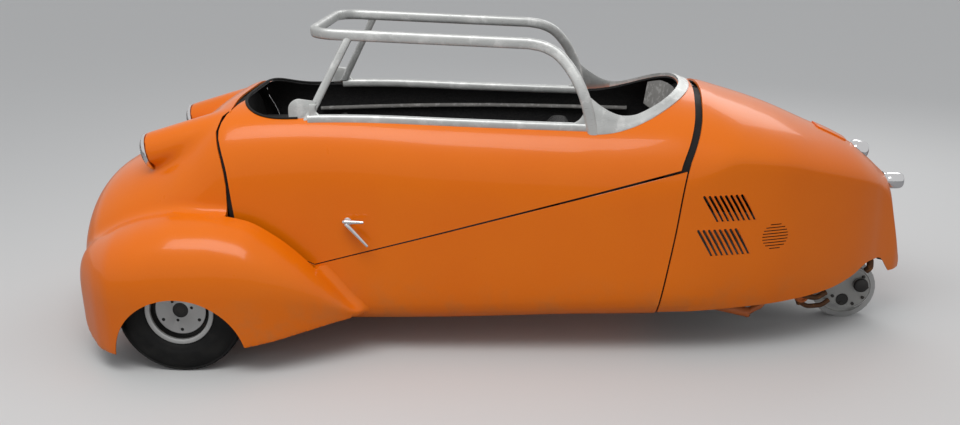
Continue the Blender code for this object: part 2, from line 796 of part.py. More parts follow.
def make_roof_rail():
    """One bar: up the left hoop, forward, round the front corners, back and down."""
    foot_z = body_surface(HOOP_FOOT_X, HOOP_HALF_WIDTH, -RAIL_THICK)
    bend = [(HOOP_FOOT_X, HOOP_HALF_WIDTH, foot_z)]
    bend += [(x, HOOP_HALF_WIDTH - inwards, z) for x, inwards, z in HOOP]
    bend.append((ROOF_BEND_X, ROOF_HALF_WIDTH, ROOF_REAR_Z))
    path = [(x, -y, z) for x, y, z in bend]
    facing = [(0, -1, 0)] * len(bend)
    for step in range(ARC_STEPS + 2):
        turn = pi / 2 * step / (ARC_STEPS + 1)
        x = ROOF_FRONT_X + ROOF_CORNER * (1 - sin(turn))
        y = ROOF_HALF_WIDTH - ROOF_CORNER * (1 - cos(turn))
        path.append((x, -y, roof_z(x)))
        facing.append((-sin(turn), -cos(turn), 0.0))
    mirrored = [(x, -y, z) for x, y, z in reversed(path)]
    mirrored_facing = [(a, -b, c) for a, b, c in reversed(facing)]
    rail = sweep("roof_rail", path + mirrored, facing + mirrored_facing, RAIL_THICK, RAIL_DEEP, ALLOY)
    return cut(rail, body_touch)


def make_pillar(name, side, roof, sill):
    foot = (PILLAR_FOOT_X, side * PILLAR_FOOT_Y, body_surface(PILLAR_FOOT_X, PILLAR_FOOT_Y, -RAIL_THICK))
    head = (PILLAR_TOP_X, side * ROOF_HALF_WIDTH, roof_z(PILLAR_TOP_X))
    pillar = sweep(name, [foot, head], (0, side, 0), PILLAR_THICK, PILLAR_WIDE, ALLOY)
    low_z, rise = foot[2], GUSSET_HIGH_Z - foot[2]
    run = PILLAR_FOOT_X - GUSSET_FRONT_X
    plate = [(PILLAR_FOOT_X, low_z), (GUSSET_FRONT_X, low_z)]
    for step in range(ARC_STEPS + 1):
        turn = pi / 2 * step / ARC_STEPS
        plate.append((PILLAR_FOOT_X - run * cos(turn), low_z + rise * (1 + sin(turn)) / 2))
    near, far = sorted((side * (PILLAR_FOOT_Y - GUSSET_THICK), side * PILLAR_FOOT_Y))
    pillar = joined(pillar, prism("gusset", plate, near, far, "Y", PARTS, ALLOY))
    return cut(pillar, body_touch, grown(roof, SEAT), grown(sill, SEAT))


def grown(item, gap):
    """A cutter of the same form as an object, thicker by a gap."""
    tool = new_object(item.name + "_room", item.data.copy(), CUTTERS)
    tool.matrix_world = item.matrix_world.copy()
    shape = bmesh.new()
    shape.from_mesh(tool.data)
    shape.normal_update()
    moves = [(v, v.normal * gap * min(v.calc_shell_factor(), 2)) for v in shape.verts]
    for v, move in moves:
        v.co += move
    shape.to_mesh(tool.data)
    shape.free()
    return as_cutter(tool)


BAND_RISE = (
    # distance behind the hoop's middle, height of the band's inner edge over the skin
    (0.000, 0.125),
    (0.032, 0.078),
    (0.070, 0.047),
    (0.112, 0.026),
    (0.161, 0.015),
    (0.300, 0.012),
)
BAND_STATIONS = 26
BAND_IN_OUT = 0.006
BAND_OUT_OUT = 0.024
BAND_IN_HALF = OPENING_HALF_WIDTH + BAND_IN_OUT
BAND_OUT_HALF = OPENING_HALF_WIDTH + BAND_OUT_OUT
BAND_IN_REACH = 0.320
BAND_OUT_REACH = 0.355
BAND_EDGE = 0.004


def make_rear_band():
    """A fillet of sheet behind the hoop that runs into a flat band round the rear edge."""
    distances, rises = zip(*BAND_RISE)
    rings = []
    for step in range(BAND_STATIONS + 1):
        turn = -pi / 2 + pi * step / BAND_STATIONS
        share = 2 / OPENING_REAR_POWER
        near, far = abs(cos(turn)) ** share, copysign(abs(sin(turn)) ** share, turn)
        x_in, y_in = RAIL_REAR_X + BAND_IN_REACH * near, BAND_IN_HALF * far
        x_out, y_out = RAIL_REAR_X + BAND_OUT_REACH * near, BAND_OUT_HALF * far
        z_in, z_out = body_surface(x_in, y_in), body_surface(x_out, y_out)
        rise = hermite(distances, rises, x_in - RAIL_REAR_X)
        ring = [(x_in, y_in, z_in - SKIN), (x_in, y_in, z_in + rise)]
        for out_share, rise_share in BAND_SECTION_SHARES:
            ring.append((x_in + (x_out - x_in) * out_share, y_in + (y_out - y_in) * out_share,
                         z_in + (z_out - z_in) * out_share + BAND_EDGE + (rise - BAND_EDGE) * rise_share))
        ring.append((x_out, y_out, z_out - SKIN))
        rings.append(ring)
    band = loft("rear_band", rings, PARTS, ALLOY)
    return cut(band, body_touch, grown(roof, SEAT))


BAND_SECTION_SHARES = (
    # way outwards, height left
    (0.30, 0.95),
    (0.50, 0.60),
    (0.72, 0.25),
    (1.00, 0.00),
)


# Handle on the canopy's left side
HANDLE_X = 0.548
HANDLE_Z = 0.483
HANDLE_STAND = 0.030
HANDLE_RADIUS = 0.009
HANDLE_ARM_X = 0.066
HANDLE_ARM_Z = 0.072
HANDLE_BAR = 0.058
HANDLE_FOOT_RADIUS = 0.0145
HANDLE_TIP_RADIUS = 0.005


def make_handle():
    skin_y = -body_side(HANDLE_X, HANDLE_Z)
    out_y = skin_y - HANDLE_STAND
    boss = rod("canopy_handle", (HANDLE_X, skin_y + HANDLE_RADIUS, HANDLE_Z),
               (HANDLE_X, out_y, HANDLE_Z), HANDLE_FOOT_RADIUS, HANDLE_RADIUS, finish=CHROME)
    arm = rod("arm", (HANDLE_X, out_y, HANDLE_Z),
              (HANDLE_X + HANDLE_ARM_X, out_y - HANDLE_RADIUS, HANDLE_Z - HANDLE_ARM_Z),
              HANDLE_RADIUS, HANDLE_TIP_RADIUS, finish=CHROME)
    bar = rod("bar", (HANDLE_X - HANDLE_RADIUS, out_y, HANDLE_Z + HANDLE_RADIUS),
              (HANDLE_X + HANDLE_BAR, out_y - HANDLE_RADIUS, HANDLE_Z + HANDLE_RADIUS),
              HANDLE_RADIUS - TOUCH, HANDLE_TIP_RADIUS, finish=CHROME)
    return cut(joined(boss, arm, bar), body_touch)


# Tail lamp and chrome end piece
TAIL_LAMP_X = 2.305
TAIL_LAMP_SINK = 0.006
TAIL_LAMP_RADIUS = 0.036
TAIL_LAMP_DEPTH = 0.070
TAIL_LAMP_RISE = 22.0
TAIL_LAMP_DOME_SHARE = 1.02
TAIL_LAMP_SHARES = (
    # radius, depth, for the housing and its domed glass
    (0.80, 0.00),
    (1.00, 0.40),
    (1.00, 0.80),
    (0.85, 0.86),
    (0.74, 0.94),
    (0.42, 1.00),
)
END_PIECE_Z = 0.512
END_PIECE_FRONT_X = 2.372
END_PIECE_REAR_X = 2.474
END_PIECE_RADIUS = 0.029
END_PIECE_SHARES = (
    # radius, depth
    (1.00, 0.00),
    (1.00, 0.80),
    (0.90, 0.93),
    (0.60, 1.00),
)


def make_tail_lamp():
    tilt = radians(TAIL_LAMP_RISE)
    way = Vector((cos(tilt), 0, -sin(tilt)))
    height = body_surface(TAIL_LAMP_X, 0, -TAIL_LAMP_SINK)
    start = Vector((TAIL_LAMP_X, 0, height)) - way * TAIL_LAMP_DEPTH / 2
    profile = [(0, 0)] + [(TAIL_LAMP_RADIUS * r, TAIL_LAMP_DEPTH * d) for r, d in TAIL_LAMP_SHARES]
    profile.append((0, TAIL_LAMP_DEPTH * TAIL_LAMP_DOME_SHARE))
    return cut(turned("tail_lamp", profile, start, way, CHROME, SMALL_STEPS), body_touch)


def make_end_piece():
    depth = END_PIECE_REAR_X - END_PIECE_FRONT_X
    profile = [(0, 0)] + [(END_PIECE_RADIUS * r, depth * d) for r, d in END_PIECE_SHARES] + [(0, depth)]
    end = turned("tail_end_piece", profile, (END_PIECE_FRONT_X, 0, END_PIECE_Z), (1, 0, 0), CHROME,
                 SMALL_STEPS)
    return cut(end, body_touch)


# Canopy hinges on the right side
HINGE_OUT = 0.026
HINGE_AXIS_Y = BODY_HALF_WIDTH + HINGE_OUT
HINGE_AXIS_Z = 0.555
HINGE_PLACES = (
    # name, x, fixed strap's low z, leaf's high z
    ("front", 1.100, 0.430, 0.640),
    ("rear", 1.440, 0.470, 0.680),
)
HINGE_HALF = 0.018
HINGE_RADIUS = 0.009
HINGE_PLATE = 0.006


def make_hinge(word, x, low_z, high_z):
    """A strap on the tub and a leaf on the canopy, whose knuckles sit side by side."""
    plate_y = HINGE_AXIS_Y - HINGE_PLATE
    made = []
    for name, near, far, z in (
            ("hinge_strap_" + word, x - HINGE_HALF, x - TOUCH, low_z),
            ("hinge_leaf_" + word, x + TOUCH, x + HINGE_HALF, high_z)):
        knuckle = rod(name, (near, HINGE_AXIS_Y, HINGE_AXIS_Z), (far, HINGE_AXIS_Y, HINGE_AXIS_Z),
                      HINGE_RADIUS, finish=STEEL)
        foot_y = body_side(x, z) - HINGE_PLATE
        shape = prism("plate", [
            (plate_y - HINGE_PLATE / 2, HINGE_AXIS_Z), (plate_y + HINGE_PLATE / 2, HINGE_AXIS_Z),
            (body_side(x, z) + HINGE_PLATE, z), (foot_y, z)],
            near, far, "X", PARTS, STEEL)
        made.append(cut(joined(knuckle, shape), body_touch))
    return made


# Rear bulkhead and the tail's hinge
BULKHEAD_SHIFT = -0.047
BULKHEAD_THICK = 0.015
TAIL_AXIS_X = 1.7095
TAIL_AXIS_Z = 0.853
TAIL_HINGE_RADIUS = 0.006
TAIL_HINGE_HALF = 0.030
TAIL_LEAF_HALF = 0.055
TAIL_LEAF_REACH = 0.040
TAIL_LEAF_THICK = 0.011
TAIL_ARM_DROP = 0.037
TAIL_FINGER_LOW = 0.0110
TAIL_FINGER_HIGH = 0.0040


def make_bulkhead():
    near = line(REAR_SEAM, LOW_Z, HIGH_Z, BULKHEAD_SHIFT)
    far = line(REAR_SEAM, LOW_Z, HIGH_Z, BULKHEAD_SHIFT + BULKHEAD_THICK)
    low = prism("rear_bulkhead", [*near, *reversed(far)], -WIDE, WIDE, "Y", PARTS, DARK)
    upper = new_object("bulkhead_top", low.data.copy(), PARTS, DARK)
    split_z = CREASE_REAR_Z - REAR_DECK_GAP * 2
    above = block("above", (0, -WIDE, split_z), (REAR_OVERHANG, WIDE, HIGH_Z + OVERRUN), CUTTERS)
    below = block("below", (0, -WIDE, LOW_Z - OVERRUN), (REAR_OVERHANG, WIDE, split_z), CUTTERS)
    low = boolean(boolean(low, body_cavity, "INTERSECT"), below, "INTERSECT")
    upper = boolean(boolean(upper, canopy_cavity, "INTERSECT"), above, "INTERSECT")
    return joined(low, upper)


def make_tail_hinge():
    """A fixed knuckle on the bulkhead and a leaf under the tail's skin."""
    r, half, leaf_half = TAIL_HINGE_RADIUS, TAIL_HINGE_HALF, TAIL_LEAF_HALF
    low = TAIL_AXIS_Z - TAIL_ARM_DROP
    fixed = rod("tail_hinge_fixed", (TAIL_AXIS_X, -half, TAIL_AXIS_Z), (TAIL_AXIS_X, half, TAIL_AXIS_Z),
                r, finish=STEEL)
    arm = prism("arm", [
        (seam_x(low, BULKHEAD_SHIFT), low), (TAIL_AXIS_X, TAIL_AXIS_Z - 4 * r),
        (TAIL_AXIS_X, TAIL_AXIS_Z - r / 2), (seam_x(low, BULKHEAD_SHIFT), TAIL_AXIS_Z - 4 * r)],
        -half, half, "Y", PARTS, STEEL)
    front = prism("arm_front", [
        *line(REAR_SEAM, LOW_Z, HIGH_Z, BULKHEAD_SHIFT + BULKHEAD_THICK + TOUCH), (0, HIGH_Z), (0, LOW_Z)],
        -WIDE, WIDE, "Y")
    fixed = joined(fixed, cut(arm, front))
    leaf = None
    for side in (-1, 1):
        inner, outer = side * (half + TOUCH), side * leaf_half
        low_y, high_y = sorted((inner, outer))
        knuckle = rod("tail_hinge_leaf" if leaf is None else "knuckle",
                      (TAIL_AXIS_X, low_y, TAIL_AXIS_Z), (TAIL_AXIS_X, high_y, TAIL_AXIS_Z),
                      r, finish=STEEL)
        finger = block("finger", (TAIL_AXIS_X, low_y, TAIL_AXIS_Z - TAIL_FINGER_LOW),
                       (TAIL_AXIS_X + 3 * r, high_y, TAIL_AXIS_Z - TAIL_FINGER_HIGH), PARTS, STEEL)
        leaf = joined(knuckle, finger) if leaf is None else joined(leaf, knuckle, finger)
    top = TAIL_AXIS_Z - TAIL_FINGER_HIGH
    plate = block("plate", (TAIL_AXIS_X + 2 * r, -leaf_half, top - TAIL_LEAF_THICK),
                  (TAIL_AXIS_X + TAIL_LEAF_REACH, leaf_half, top + r / 2), PARTS, STEEL)
    leaf = joined(leaf, plate)
    room = body_solid("tail_room", 0.0)
    room = cut(room, body_inner)
    leaf = cut(leaf, grown(room, SEAT))
    bpy.data.objects.remove(room, do_unlink=True)
    return fixed, leaf


# Cabin: scuttle, dash, steering, seats and pedals
SCUTTLE_X = 0.088
SCUTTLE_THICK = 0.014
DASH_REAR_X = 0.285
DASH_HALF = 0.165
DASH_LOW_Z = 0.590
DASH_HIGH_Z = 0.720
DASH_DROP = 0.220
FOOTWELL_HALF = 0.300
FOOTWELL_TOP_Z = 0.570
COLUMN_RADIUS = 0.014
COLUMN_LOW = (0.062, 0.200)
COLUMN_HIGH = (0.480, 0.660)
BAR_HALF = 0.185
BAR_RADIUS = 0.012
SEAT_EDGE = 0.025
CUSHION_LOW_Z = 0.262
CUSHION_HIGH_Z = 0.352
FRONT_SEAT_LOW_X = 0.760
FRONT_SEAT_HIGH_X = 1.120
FRONT_SEAT_HALF = 0.190
REAR_SEAT_LOW_X = 1.250
REAR_SEAT_HIGH_X = 1.520
REAR_SEAT_HALF = 0.270
FRONT_BACK_LOW_X = 1.128
FRONT_BACK_THICK = 0.090
FRONT_BACK_HALF = 0.180
FRONT_BACK_HIGH_Z = 0.740
REAR_BACK_THICK = 0.070
REAR_BACK_HALF = 0.260
REAR_BACK_LOW_Z = 0.365
REAR_BACK_HIGH_Z = 0.720
SEAT_LEAN = 0.080


def make_scuttle():
    plate = prism("scuttle", [
        (SCUTTLE_X, LOW_Z), (SCUTTLE_X + SCUTTLE_THICK, LOW_Z),
        (SCUTTLE_X + SCUTTLE_THICK, HIGH_Z), (SCUTTLE_X, HIGH_Z)], -WIDE, WIDE, "Y", PARTS, DARK)
    hole = block("footwell", (0, -FOOTWELL_HALF, LOW_Z), (CREASE_FRONT_X, FOOTWELL_HALF, FOOTWELL_TOP_Z),
                 CUTTERS)
    return cut(boolean(plate, body_cavity, "INTERSECT"), hole)


def make_dash():
    near = SCUTTLE_X + SCUTTLE_THICK + TOUCH
    dash = prism("dash_pod", [
        (near, DASH_LOW_Z), (DASH_REAR_X - SEAT_EDGE, DASH_LOW_Z), (DASH_REAR_X, DASH_LOW_Z + SEAT_EDGE),
        (DASH_REAR_X - SEAT_EDGE, DASH_HIGH_Z), (near, DASH_HIGH_Z)],
        -DASH_HALF, DASH_HALF, "Y", PARTS, DARK)
    drop = block("drop", (near, -COLUMN_RADIUS, DASH_LOW_Z - DASH_DROP),
                 (DASH_REAR_X - SEAT_EDGE, COLUMN_RADIUS, DASH_LOW_Z + SEAT_EDGE), PARTS, DARK)
    dash = joined(dash, drop)
    room = column_rod("column_room", COLUMN_RADIUS + SEAT, CUTTERS, OVERRUN)
    below = prism("below_column", [
        (COLUMN_LOW[0], COLUMN_LOW[1]), (COLUMN_HIGH[0], COLUMN_HIGH[1]),
        (COLUMN_HIGH[0], LOW_Z), (COLUMN_LOW[0], LOW_Z)], -WIDE, WIDE, "Y")
    return cut(dash, room, below)


def column_way():
    return Vector((COLUMN_HIGH[0] - COLUMN_LOW[0], 0, COLUMN_HIGH[1] - COLUMN_LOW[1])).normalized()


def column_rod(name, radius, collection, more=0.0, finish=None):
    start = Vector((COLUMN_LOW[0], 0, COLUMN_LOW[1])) - column_way() * more
    end = Vector((COLUMN_HIGH[0], 0, COLUMN_HIGH[1])) + column_way() * more
    return rod(name, start, end, radius, collection=collection, finish=finish, sides=24)


def make_steering():
    column = column_rod("steering_column", COLUMN_RADIUS, PARTS, 0.0, STEEL)
    foot = block("foot", (COLUMN_LOW[0] - 2 * COLUMN_RADIUS, -2 * COLUMN_RADIUS, 0),
                 (COLUMN_LOW[0] + 2 * COLUMN_RADIUS, 2 * COLUMN_RADIUS, COLUMN_LOW[1]), PARTS, STEEL)
    foot = boolean(foot, body_cavity, "INTERSECT")
    column = joined(column, foot)
    way = column_way()
    head = Vector((COLUMN_HIGH[0], 0, COLUMN_HIGH[1])) + way * TOUCH
    hub = rod("steering_bar", head, head + way * 3 * BAR_RADIUS, COLUMN_RADIUS * 1.5, finish=DARK)
    middle = head + way * 1.5 * BAR_RADIUS
    up = Vector((0, 1, 0)).cross(way)
    if up.z < 0:
        up = -up
    route = []
    for y_share, rise_share in ((-1, 0.30), (-0.55, 0.36), (-0.42, 0.16), (-0.20, 0), (0.20, 0),
                                (0.42, 0.16), (0.55, 0.36), (1, 0.30)):
        route.append(middle + Vector((0, BAR_HALF * y_share, 0)) + up * BAR_HALF * rise_share)
    bar = tube("bar", route, BAR_RADIUS, PARTS, DARK)
    return column, origin_to(joined(hub, bar), middle)


SEATS = (
    # name, low x, high x, base's high x, half width
    ("front_seat", FRONT_SEAT_LOW_X, FRONT_SEAT_HIGH_X, FRONT_BACK_LOW_X + FRONT_BACK_THICK, FRONT_SEAT_HALF),
    ("rear_seat", REAR_SEAT_LOW_X, REAR_SEAT_HIGH_X, REAR_SEAT_HIGH_X - SEAT_EDGE, REAR_SEAT_HALF),
)


def softened(item, width):
    edge = item.modifiers.new("edge", "BEVEL")
    edge.width = width
    edge.segments = 3
    return baked(item)


def make_seats():
    for name, low_x, high_x, base_x, half in SEATS:
        softened(block(name + "_cushion", (low_x, -half, CUSHION_LOW_Z), (high_x, half, CUSHION_HIGH_Z),
                       PARTS, VINYL), SEAT_EDGE)
        inner = half - SEAT_EDGE
        base = block(name + "_base", (low_x + SEAT_EDGE, -inner, 0), (base_x, inner, CUSHION_LOW_Z - TOUCH),
                     PARTS, STEEL)
        boolean(base, body_cavity, "INTERSECT")
    near, far, low_z, high_z = FRONT_BACK_LOW_X, SEATS[0][3], CUSHION_LOW_Z, FRONT_BACK_HIGH_Z
    half = FRONT_BACK_HALF
    softened(prism("front_seat_back", [
        (near, low_z), (far, low_z), (far + SEAT_LEAN, high_z), (near + SEAT_LEAN, high_z)],
        -half, half, "Y", PARTS, VINYL), SEAT_EDGE)
    near, far, half = BULKHEAD_SHIFT - REAR_BACK_THICK, BULKHEAD_SHIFT - SEAT, REAR_BACK_HALF
    low_z, high_z = REAR_BACK_LOW_Z, REAR_BACK_HIGH_Z
    front, back = line(REAR_SEAM, low_z, high_z, near), line(REAR_SEAM, low_z, high_z, far)
    softened(prism("rear_seat_back", [*front, *reversed(back)], -half, half, "Y", PARTS, VINYL),
             SEAT_EDGE / 2)


# Front axle tubes, knuckles, wheels
KINGPIN_Y = 0.462
BOSS_RADIUS = 0.014
BOSS_HALF = 0.014
KNUCKLE_RADIUS = 0.013
SPINDLE_RADIUS = 0.012
DRUM_RADIUS = 0.078
PLATE_RADIUS = 0.070
DRUM_BACK = 0.026
DISC_FACE = 0.014
DISC_THICK = 0.004
HUB_RADIUS = 0.022
STEER_ARM = 0.100
STEER_ARM_Z = 0.101
STEER_ARM_HALF = 0.006
ROD_RADIUS = 0.007
ROD_Z = STEER_ARM_Z - STEER_ARM_HALF - ROD_RADIUS - TOUCH


def make_front_axle(name, z):
    end_y = KINGPIN_Y - BOSS_RADIUS / 2
    made = rod(name, (0, -end_y, z), (0, end_y, z), AXLE_RADIUS, finish=STEEL)
    for side in (-1, 1):
        boss = rod("boss", (0, side * KINGPIN_Y, z - BOSS_HALF), (0, side * KINGPIN_Y, z + BOSS_HALF),
                   BOSS_RADIUS, finish=STEEL)
        made = joined(made, boss)
    return made


def make_knuckle(word, side):
    wheel_z = TYRE_RADIUS
    low, high = AXLE_LOW_Z + BOSS_HALF + TOUCH, AXLE_HIGH_Z - BOSS_HALF - TOUCH
    made = rod("knuckle_" + word, (0, side * KINGPIN_Y, low), (0, side * KINGPIN_Y, high),
               KNUCKLE_RADIUS, finish=STEEL)
    end_y = TRACK_HALF + DISC_FACE
    spindle = rod("spindle", (0, side * KINGPIN_Y, wheel_z), (0, side * end_y, wheel_z), SPINDLE_RADIUS,
                  finish=STEEL)
    plate_y = TRACK_HALF - DRUM_BACK - 3 * TOUCH
    near, far = sorted((side * (plate_y - STEER_ARM_HALF), side * plate_y))
    plate = rod("plate", (0, near, wheel_z), (0, far, wheel_z), PLATE_RADIUS, finish=STEEL,
                sides=SMALL_STEPS)
    near, far = sorted((side * KINGPIN_Y, side * (KINGPIN_Y - 2 * STEER_ARM_HALF)))
    r, half = BOSS_RADIUS, STEER_ARM_HALF
    arm = prism("arm", [
        (0, wheel_z), (2 * r, wheel_z), (STEER_ARM + r, STEER_ARM_Z + half),
        (STEER_ARM + r, STEER_ARM_Z - half), (STEER_ARM - r, STEER_ARM_Z - half),
        (2 * r, low + half), (0, low + half)], near, far, "Y", PARTS, STEEL)
    made = joined(made, spindle, plate, arm)
    return origin_to(made, (0, side * KINGPIN_Y, wheel_z))


def rim_profile():
    flange, half, wall = RIM_RADIUS, RIM_WIDTH / 2, RIM_WALL
    seat = RIM_SEAT_RADIUS
    face, back = DISC_FACE, DISC_FACE - DISC_THICK
    return [
        (HUB_BORE_RADIUS, back), (seat - wall, back), (seat - wall, -half), (flange, -half),
        (flange, -half + wall), (seat, -half + wall), (seat, half - wall), (flange, half - wall),
        (flange, half), (seat - wall, half), (seat - wall, face), (HUB_BORE_RADIUS, face)]


TYRE_BEAD_SHARE = 0.12
TYRE_SIDE_SHARES = (
    # way up the side wall, half width
    (0.20, 0.86),
    (0.46, 1.00),
    (0.74, 0.94),
    (0.93, 0.72),
    (1.00, 0.34),
)


def tyre_profile():
    half, bead = TYRE_WIDTH / 2, RIM_WIDTH / 2 - RIM_WALL - TOUCH
    inner, outer = RIM_SEAT_RADIUS + TOUCH, TYRE_RADIUS
    wall = outer - inner
    side = [(inner + wall * up, half * out) for up, out in TYRE_SIDE_SHARES]
    side.insert(0, (inner + wall * TYRE_BEAD_SHARE, bead))
    low = [(r, -h) for r, h in reversed(side)]
    return [(inner, -bead), (inner, bead), *side, *low]


def drum_profile():
    bore, play = SPINDLE_RADIUS + TOUCH, TOUCH
    back, face = -DRUM_BACK, DISC_FACE - DISC_THICK - play
    hub = HUB_BORE_RADIUS - play
    return [(bore, back), (DRUM_RADIUS, back), (DRUM_RADIUS, face), (hub, face),
            (hub, DISC_FACE), (bore, DISC_FACE)]


def make_wheel(word, side):
    centre = (0, side * TRACK_HALF, TYRE_RADIUS)
    way = (0, side, 0)
    origin_to(turned("front_tyre_" + word, tyre_profile(), centre, way, RUBBER), centre)
    origin_to(turned("front_rim_" + word, rim_profile(), centre, way, ALLOY), centre)
    origin_to(turned("front_drum_" + word, drum_profile(), centre, way, STEEL), centre)


def make_track_rod():
    end_y = KINGPIN_Y - STEER_ARM_HALF
    return rod("track_rod", (STEER_ARM, -end_y, ROD_Z), (STEER_ARM, end_y, ROD_Z), ROD_RADIUS,
               finish=STEEL)


# Rear end: bare rim, axle, drive case, engine, silencer and the tubes that carry them
CASE_INNER_Y = -0.046
CASE_THICK = 0.042
CASE_ENDS = (
    # distance from the front axis, height, radius
    (2.292, 0.136, 0.076),
    (2.050, 0.235, 0.062),
)
CASE_CAP_X = 2.330
CASE_CAP_Z = 0.150
CASE_CAP_RADIUS = 0.026
CASE_CAP_STAND = 0.012
CASE_HOLE_X = 2.272
CASE_HOLE_Z = 0.090
CASE_HOLE_RADIUS = 0.023
CASE_POINTS = 12
ENGINE_FRONT_X = 1.715
ENGINE_LOW_Y = -0.160
ENGINE_LOW_Z = 0.150
ENGINE_HIGH_Y = 0.120
ENGINE_HIGH_Z = 0.440
MOUNT_LOW_Z = 0.200
MOUNT_HIGH_Z = 0.330
MOUNT_HALF = 0.100
SILENCER_RADIUS = 0.036
SILENCER_Y = 0.060
SILENCER_REAR_X = 2.130
TUBE_Y = 0.215
TUBE_HIGH_Z = 0.176
TUBE_REAR_X = 1.915
TUBE_LOW_Z = 0.088
TUBE_BORE_SHARE = 0.25
REAR_HUB_RADIUS = 0.046
SUBFRAME_TUBE = 0.017
SUBFRAME_WALL = 0.003


def case_outline():
    (rear_x, rear_z, rear_r), (front_x, front_z, front_r) = CASE_ENDS
    slope = Vector((rear_x - front_x, rear_z - front_z)).angle_signed(Vector((1, 0)))
    points = []
    for x, z, radius, begin in ((rear_x, rear_z, rear_r, slope - pi / 2),
                                (front_x, front_z, front_r, slope + pi / 2)):
        for step in range(CASE_POINTS + 1):
            turn = begin + pi * step / CASE_POINTS
            points.append((x + radius * cos(turn), z + radius * sin(turn)))
    return points


def make_drive():
    out_y = CASE_INNER_Y - CASE_THICK
    case = prism("drive_case", case_outline(), out_y, CASE_INNER_Y, "Y", PARTS, ALLOY)
    cap = rod("cap", (CASE_CAP_X, out_y - CASE_CAP_STAND, CASE_CAP_Z),
              (CASE_CAP_X, out_y + CASE_CAP_STAND, CASE_CAP_Z), CASE_CAP_RADIUS, finish=ALLOY)
    axle = rod("axle", (REAR_WHEEL_X, CASE_INNER_Y - TOUCH, RIM_RADIUS),
               (REAR_WHEEL_X, REAR_HUB_RADIUS, RIM_RADIUS), SPINDLE_RADIUS, finish=STEEL)
    hole = rod("case_hole", (CASE_HOLE_X, out_y - OVERRUN, CASE_HOLE_Z),
               (CASE_HOLE_X, out_y + CASE_THICK / 2, CASE_HOLE_Z), CASE_HOLE_RADIUS, collection=CUTTERS)
    cut(joined(case, cap, axle), hole)


def make_rear_wheel():
    centre = (REAR_WHEEL_X, 0, RIM_RADIUS)
    way = (0, -1, 0)
    origin_to(turned("rear_rim", rim_profile(), centre, way, ALLOY), centre)
    bore, hub = SPINDLE_RADIUS + TOUCH, HUB_BORE_RADIUS - TOUCH
    back, face = -DRUM_BACK, DISC_FACE - DISC_THICK - TOUCH
    profile = [(bore, back), (REAR_HUB_RADIUS, back), (REAR_HUB_RADIUS, face), (hub, face),
               (hub, DISC_FACE), (bore, DISC_FACE)]
    origin_to(turned("rear_hub", profile, centre, way, STEEL), centre)


def make_engine():
    rear_x = CASE_ENDS[1][0] - CASE_ENDS[1][2] - TOUCH
    block("engine_block", (ENGINE_FRONT_X, ENGINE_LOW_Y, ENGINE_LOW_Z),
          (rear_x, ENGINE_HIGH_Y, ENGINE_HIGH_Z), PARTS, STEEL)
    back = line(REAR_SEAM, MOUNT_LOW_Z, MOUNT_HIGH_Z, BULKHEAD_SHIFT + BULKHEAD_THICK + TOUCH)
    front_x = ENGINE_FRONT_X - TOUCH
    prism("engine_mount", [(front_x, MOUNT_LOW_Z), (front_x, MOUNT_HIGH_Z), *reversed(back)],
          -MOUNT_HALF, MOUNT_HALF, "Y", PARTS, STEEL)
    pipe_z = ENGINE_LOW_Z - TOUCH - SILENCER_RADIUS
    rod("exhaust_silencer", (ENGINE_FRONT_X + OVERRUN, SILENCER_Y, pipe_z),
        (SILENCER_REAR_X, SILENCER_Y, pipe_z), SILENCER_RADIUS, finish=STEEL)


def make_subframe_tube(name, side):
    back = BULKHEAD_SHIFT + BULKHEAD_THICK + TOUCH
    start = Vector((seam_x(TUBE_HIGH_Z, back), side * TUBE_Y, TUBE_HIGH_Z))
    end = Vector((TUBE_REAR_X, side * TUBE_Y, TUBE_LOW_Z))
    way = end - start
    tube_rod = rod(name, start, end, SUBFRAME_TUBE, finish=PAINT)
    bore = rod("tube_bore", end - way * TUBE_BORE_SHARE, end + way * TUBE_BORE_SHARE,
               SUBFRAME_TUBE - SUBFRAME_WALL, collection=CUTTERS)
    face = prism("tube_face", [*line(REAR_SEAM, LOW_Z, HIGH_Z, back), (0, HIGH_Z), (0, LOW_Z)],
                 -WIDE, WIDE, "Y")
    return cut(tube_rod, bore, face)


roof = make_roof_rail()
for word, side in (("left", -1), ("right", 1)):
    sill = make_sill_bar("sill_rail_" + word, side)
    pillar = make_pillar("front_pillar_" + word, side, roof, sill)
    finish_sill_rail(sill, side, roof, pillar)
make_rear_band()
make_handle()
make_tail_lamp()
make_end_piece()
for row in HINGE_PLACES:
    make_hinge(*row)
make_bulkhead()
make_tail_hinge()
make_scuttle()
make_dash()
make_steering()
make_seats()
make_front_axle("front_axle_lower", AXLE_LOW_Z)
make_front_axle("front_axle_upper", AXLE_HIGH_Z)
for word, side in (("left", -1), ("right", 1)):
    make_knuckle(word, side)
    make_wheel(word, side)
    make_subframe_tube("subframe_tube_" + word, side)
make_track_rod()
make_drive()
make_rear_wheel()
make_engine()

for item in PARTS.objects:
    item.location.x -= MIDDLE_X
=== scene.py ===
# %% [markdown]
# Three wheeled microcar, dressed for the camera
#
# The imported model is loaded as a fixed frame: every node sits at the origin with its place in its
# mesh. Lengths are metres. The drawing's own x starts at the front wheels' axis, and each finished
# piece is moved back by half the difference of the overhangs, as the solids are.

# %% Load the frame
from math import atan2, copysign, cos, hypot, pi, radians, sin, tau

import bmesh
import bpy
from mathutils import Matrix, Vector
from mathutils.bvhtree import BVHTree


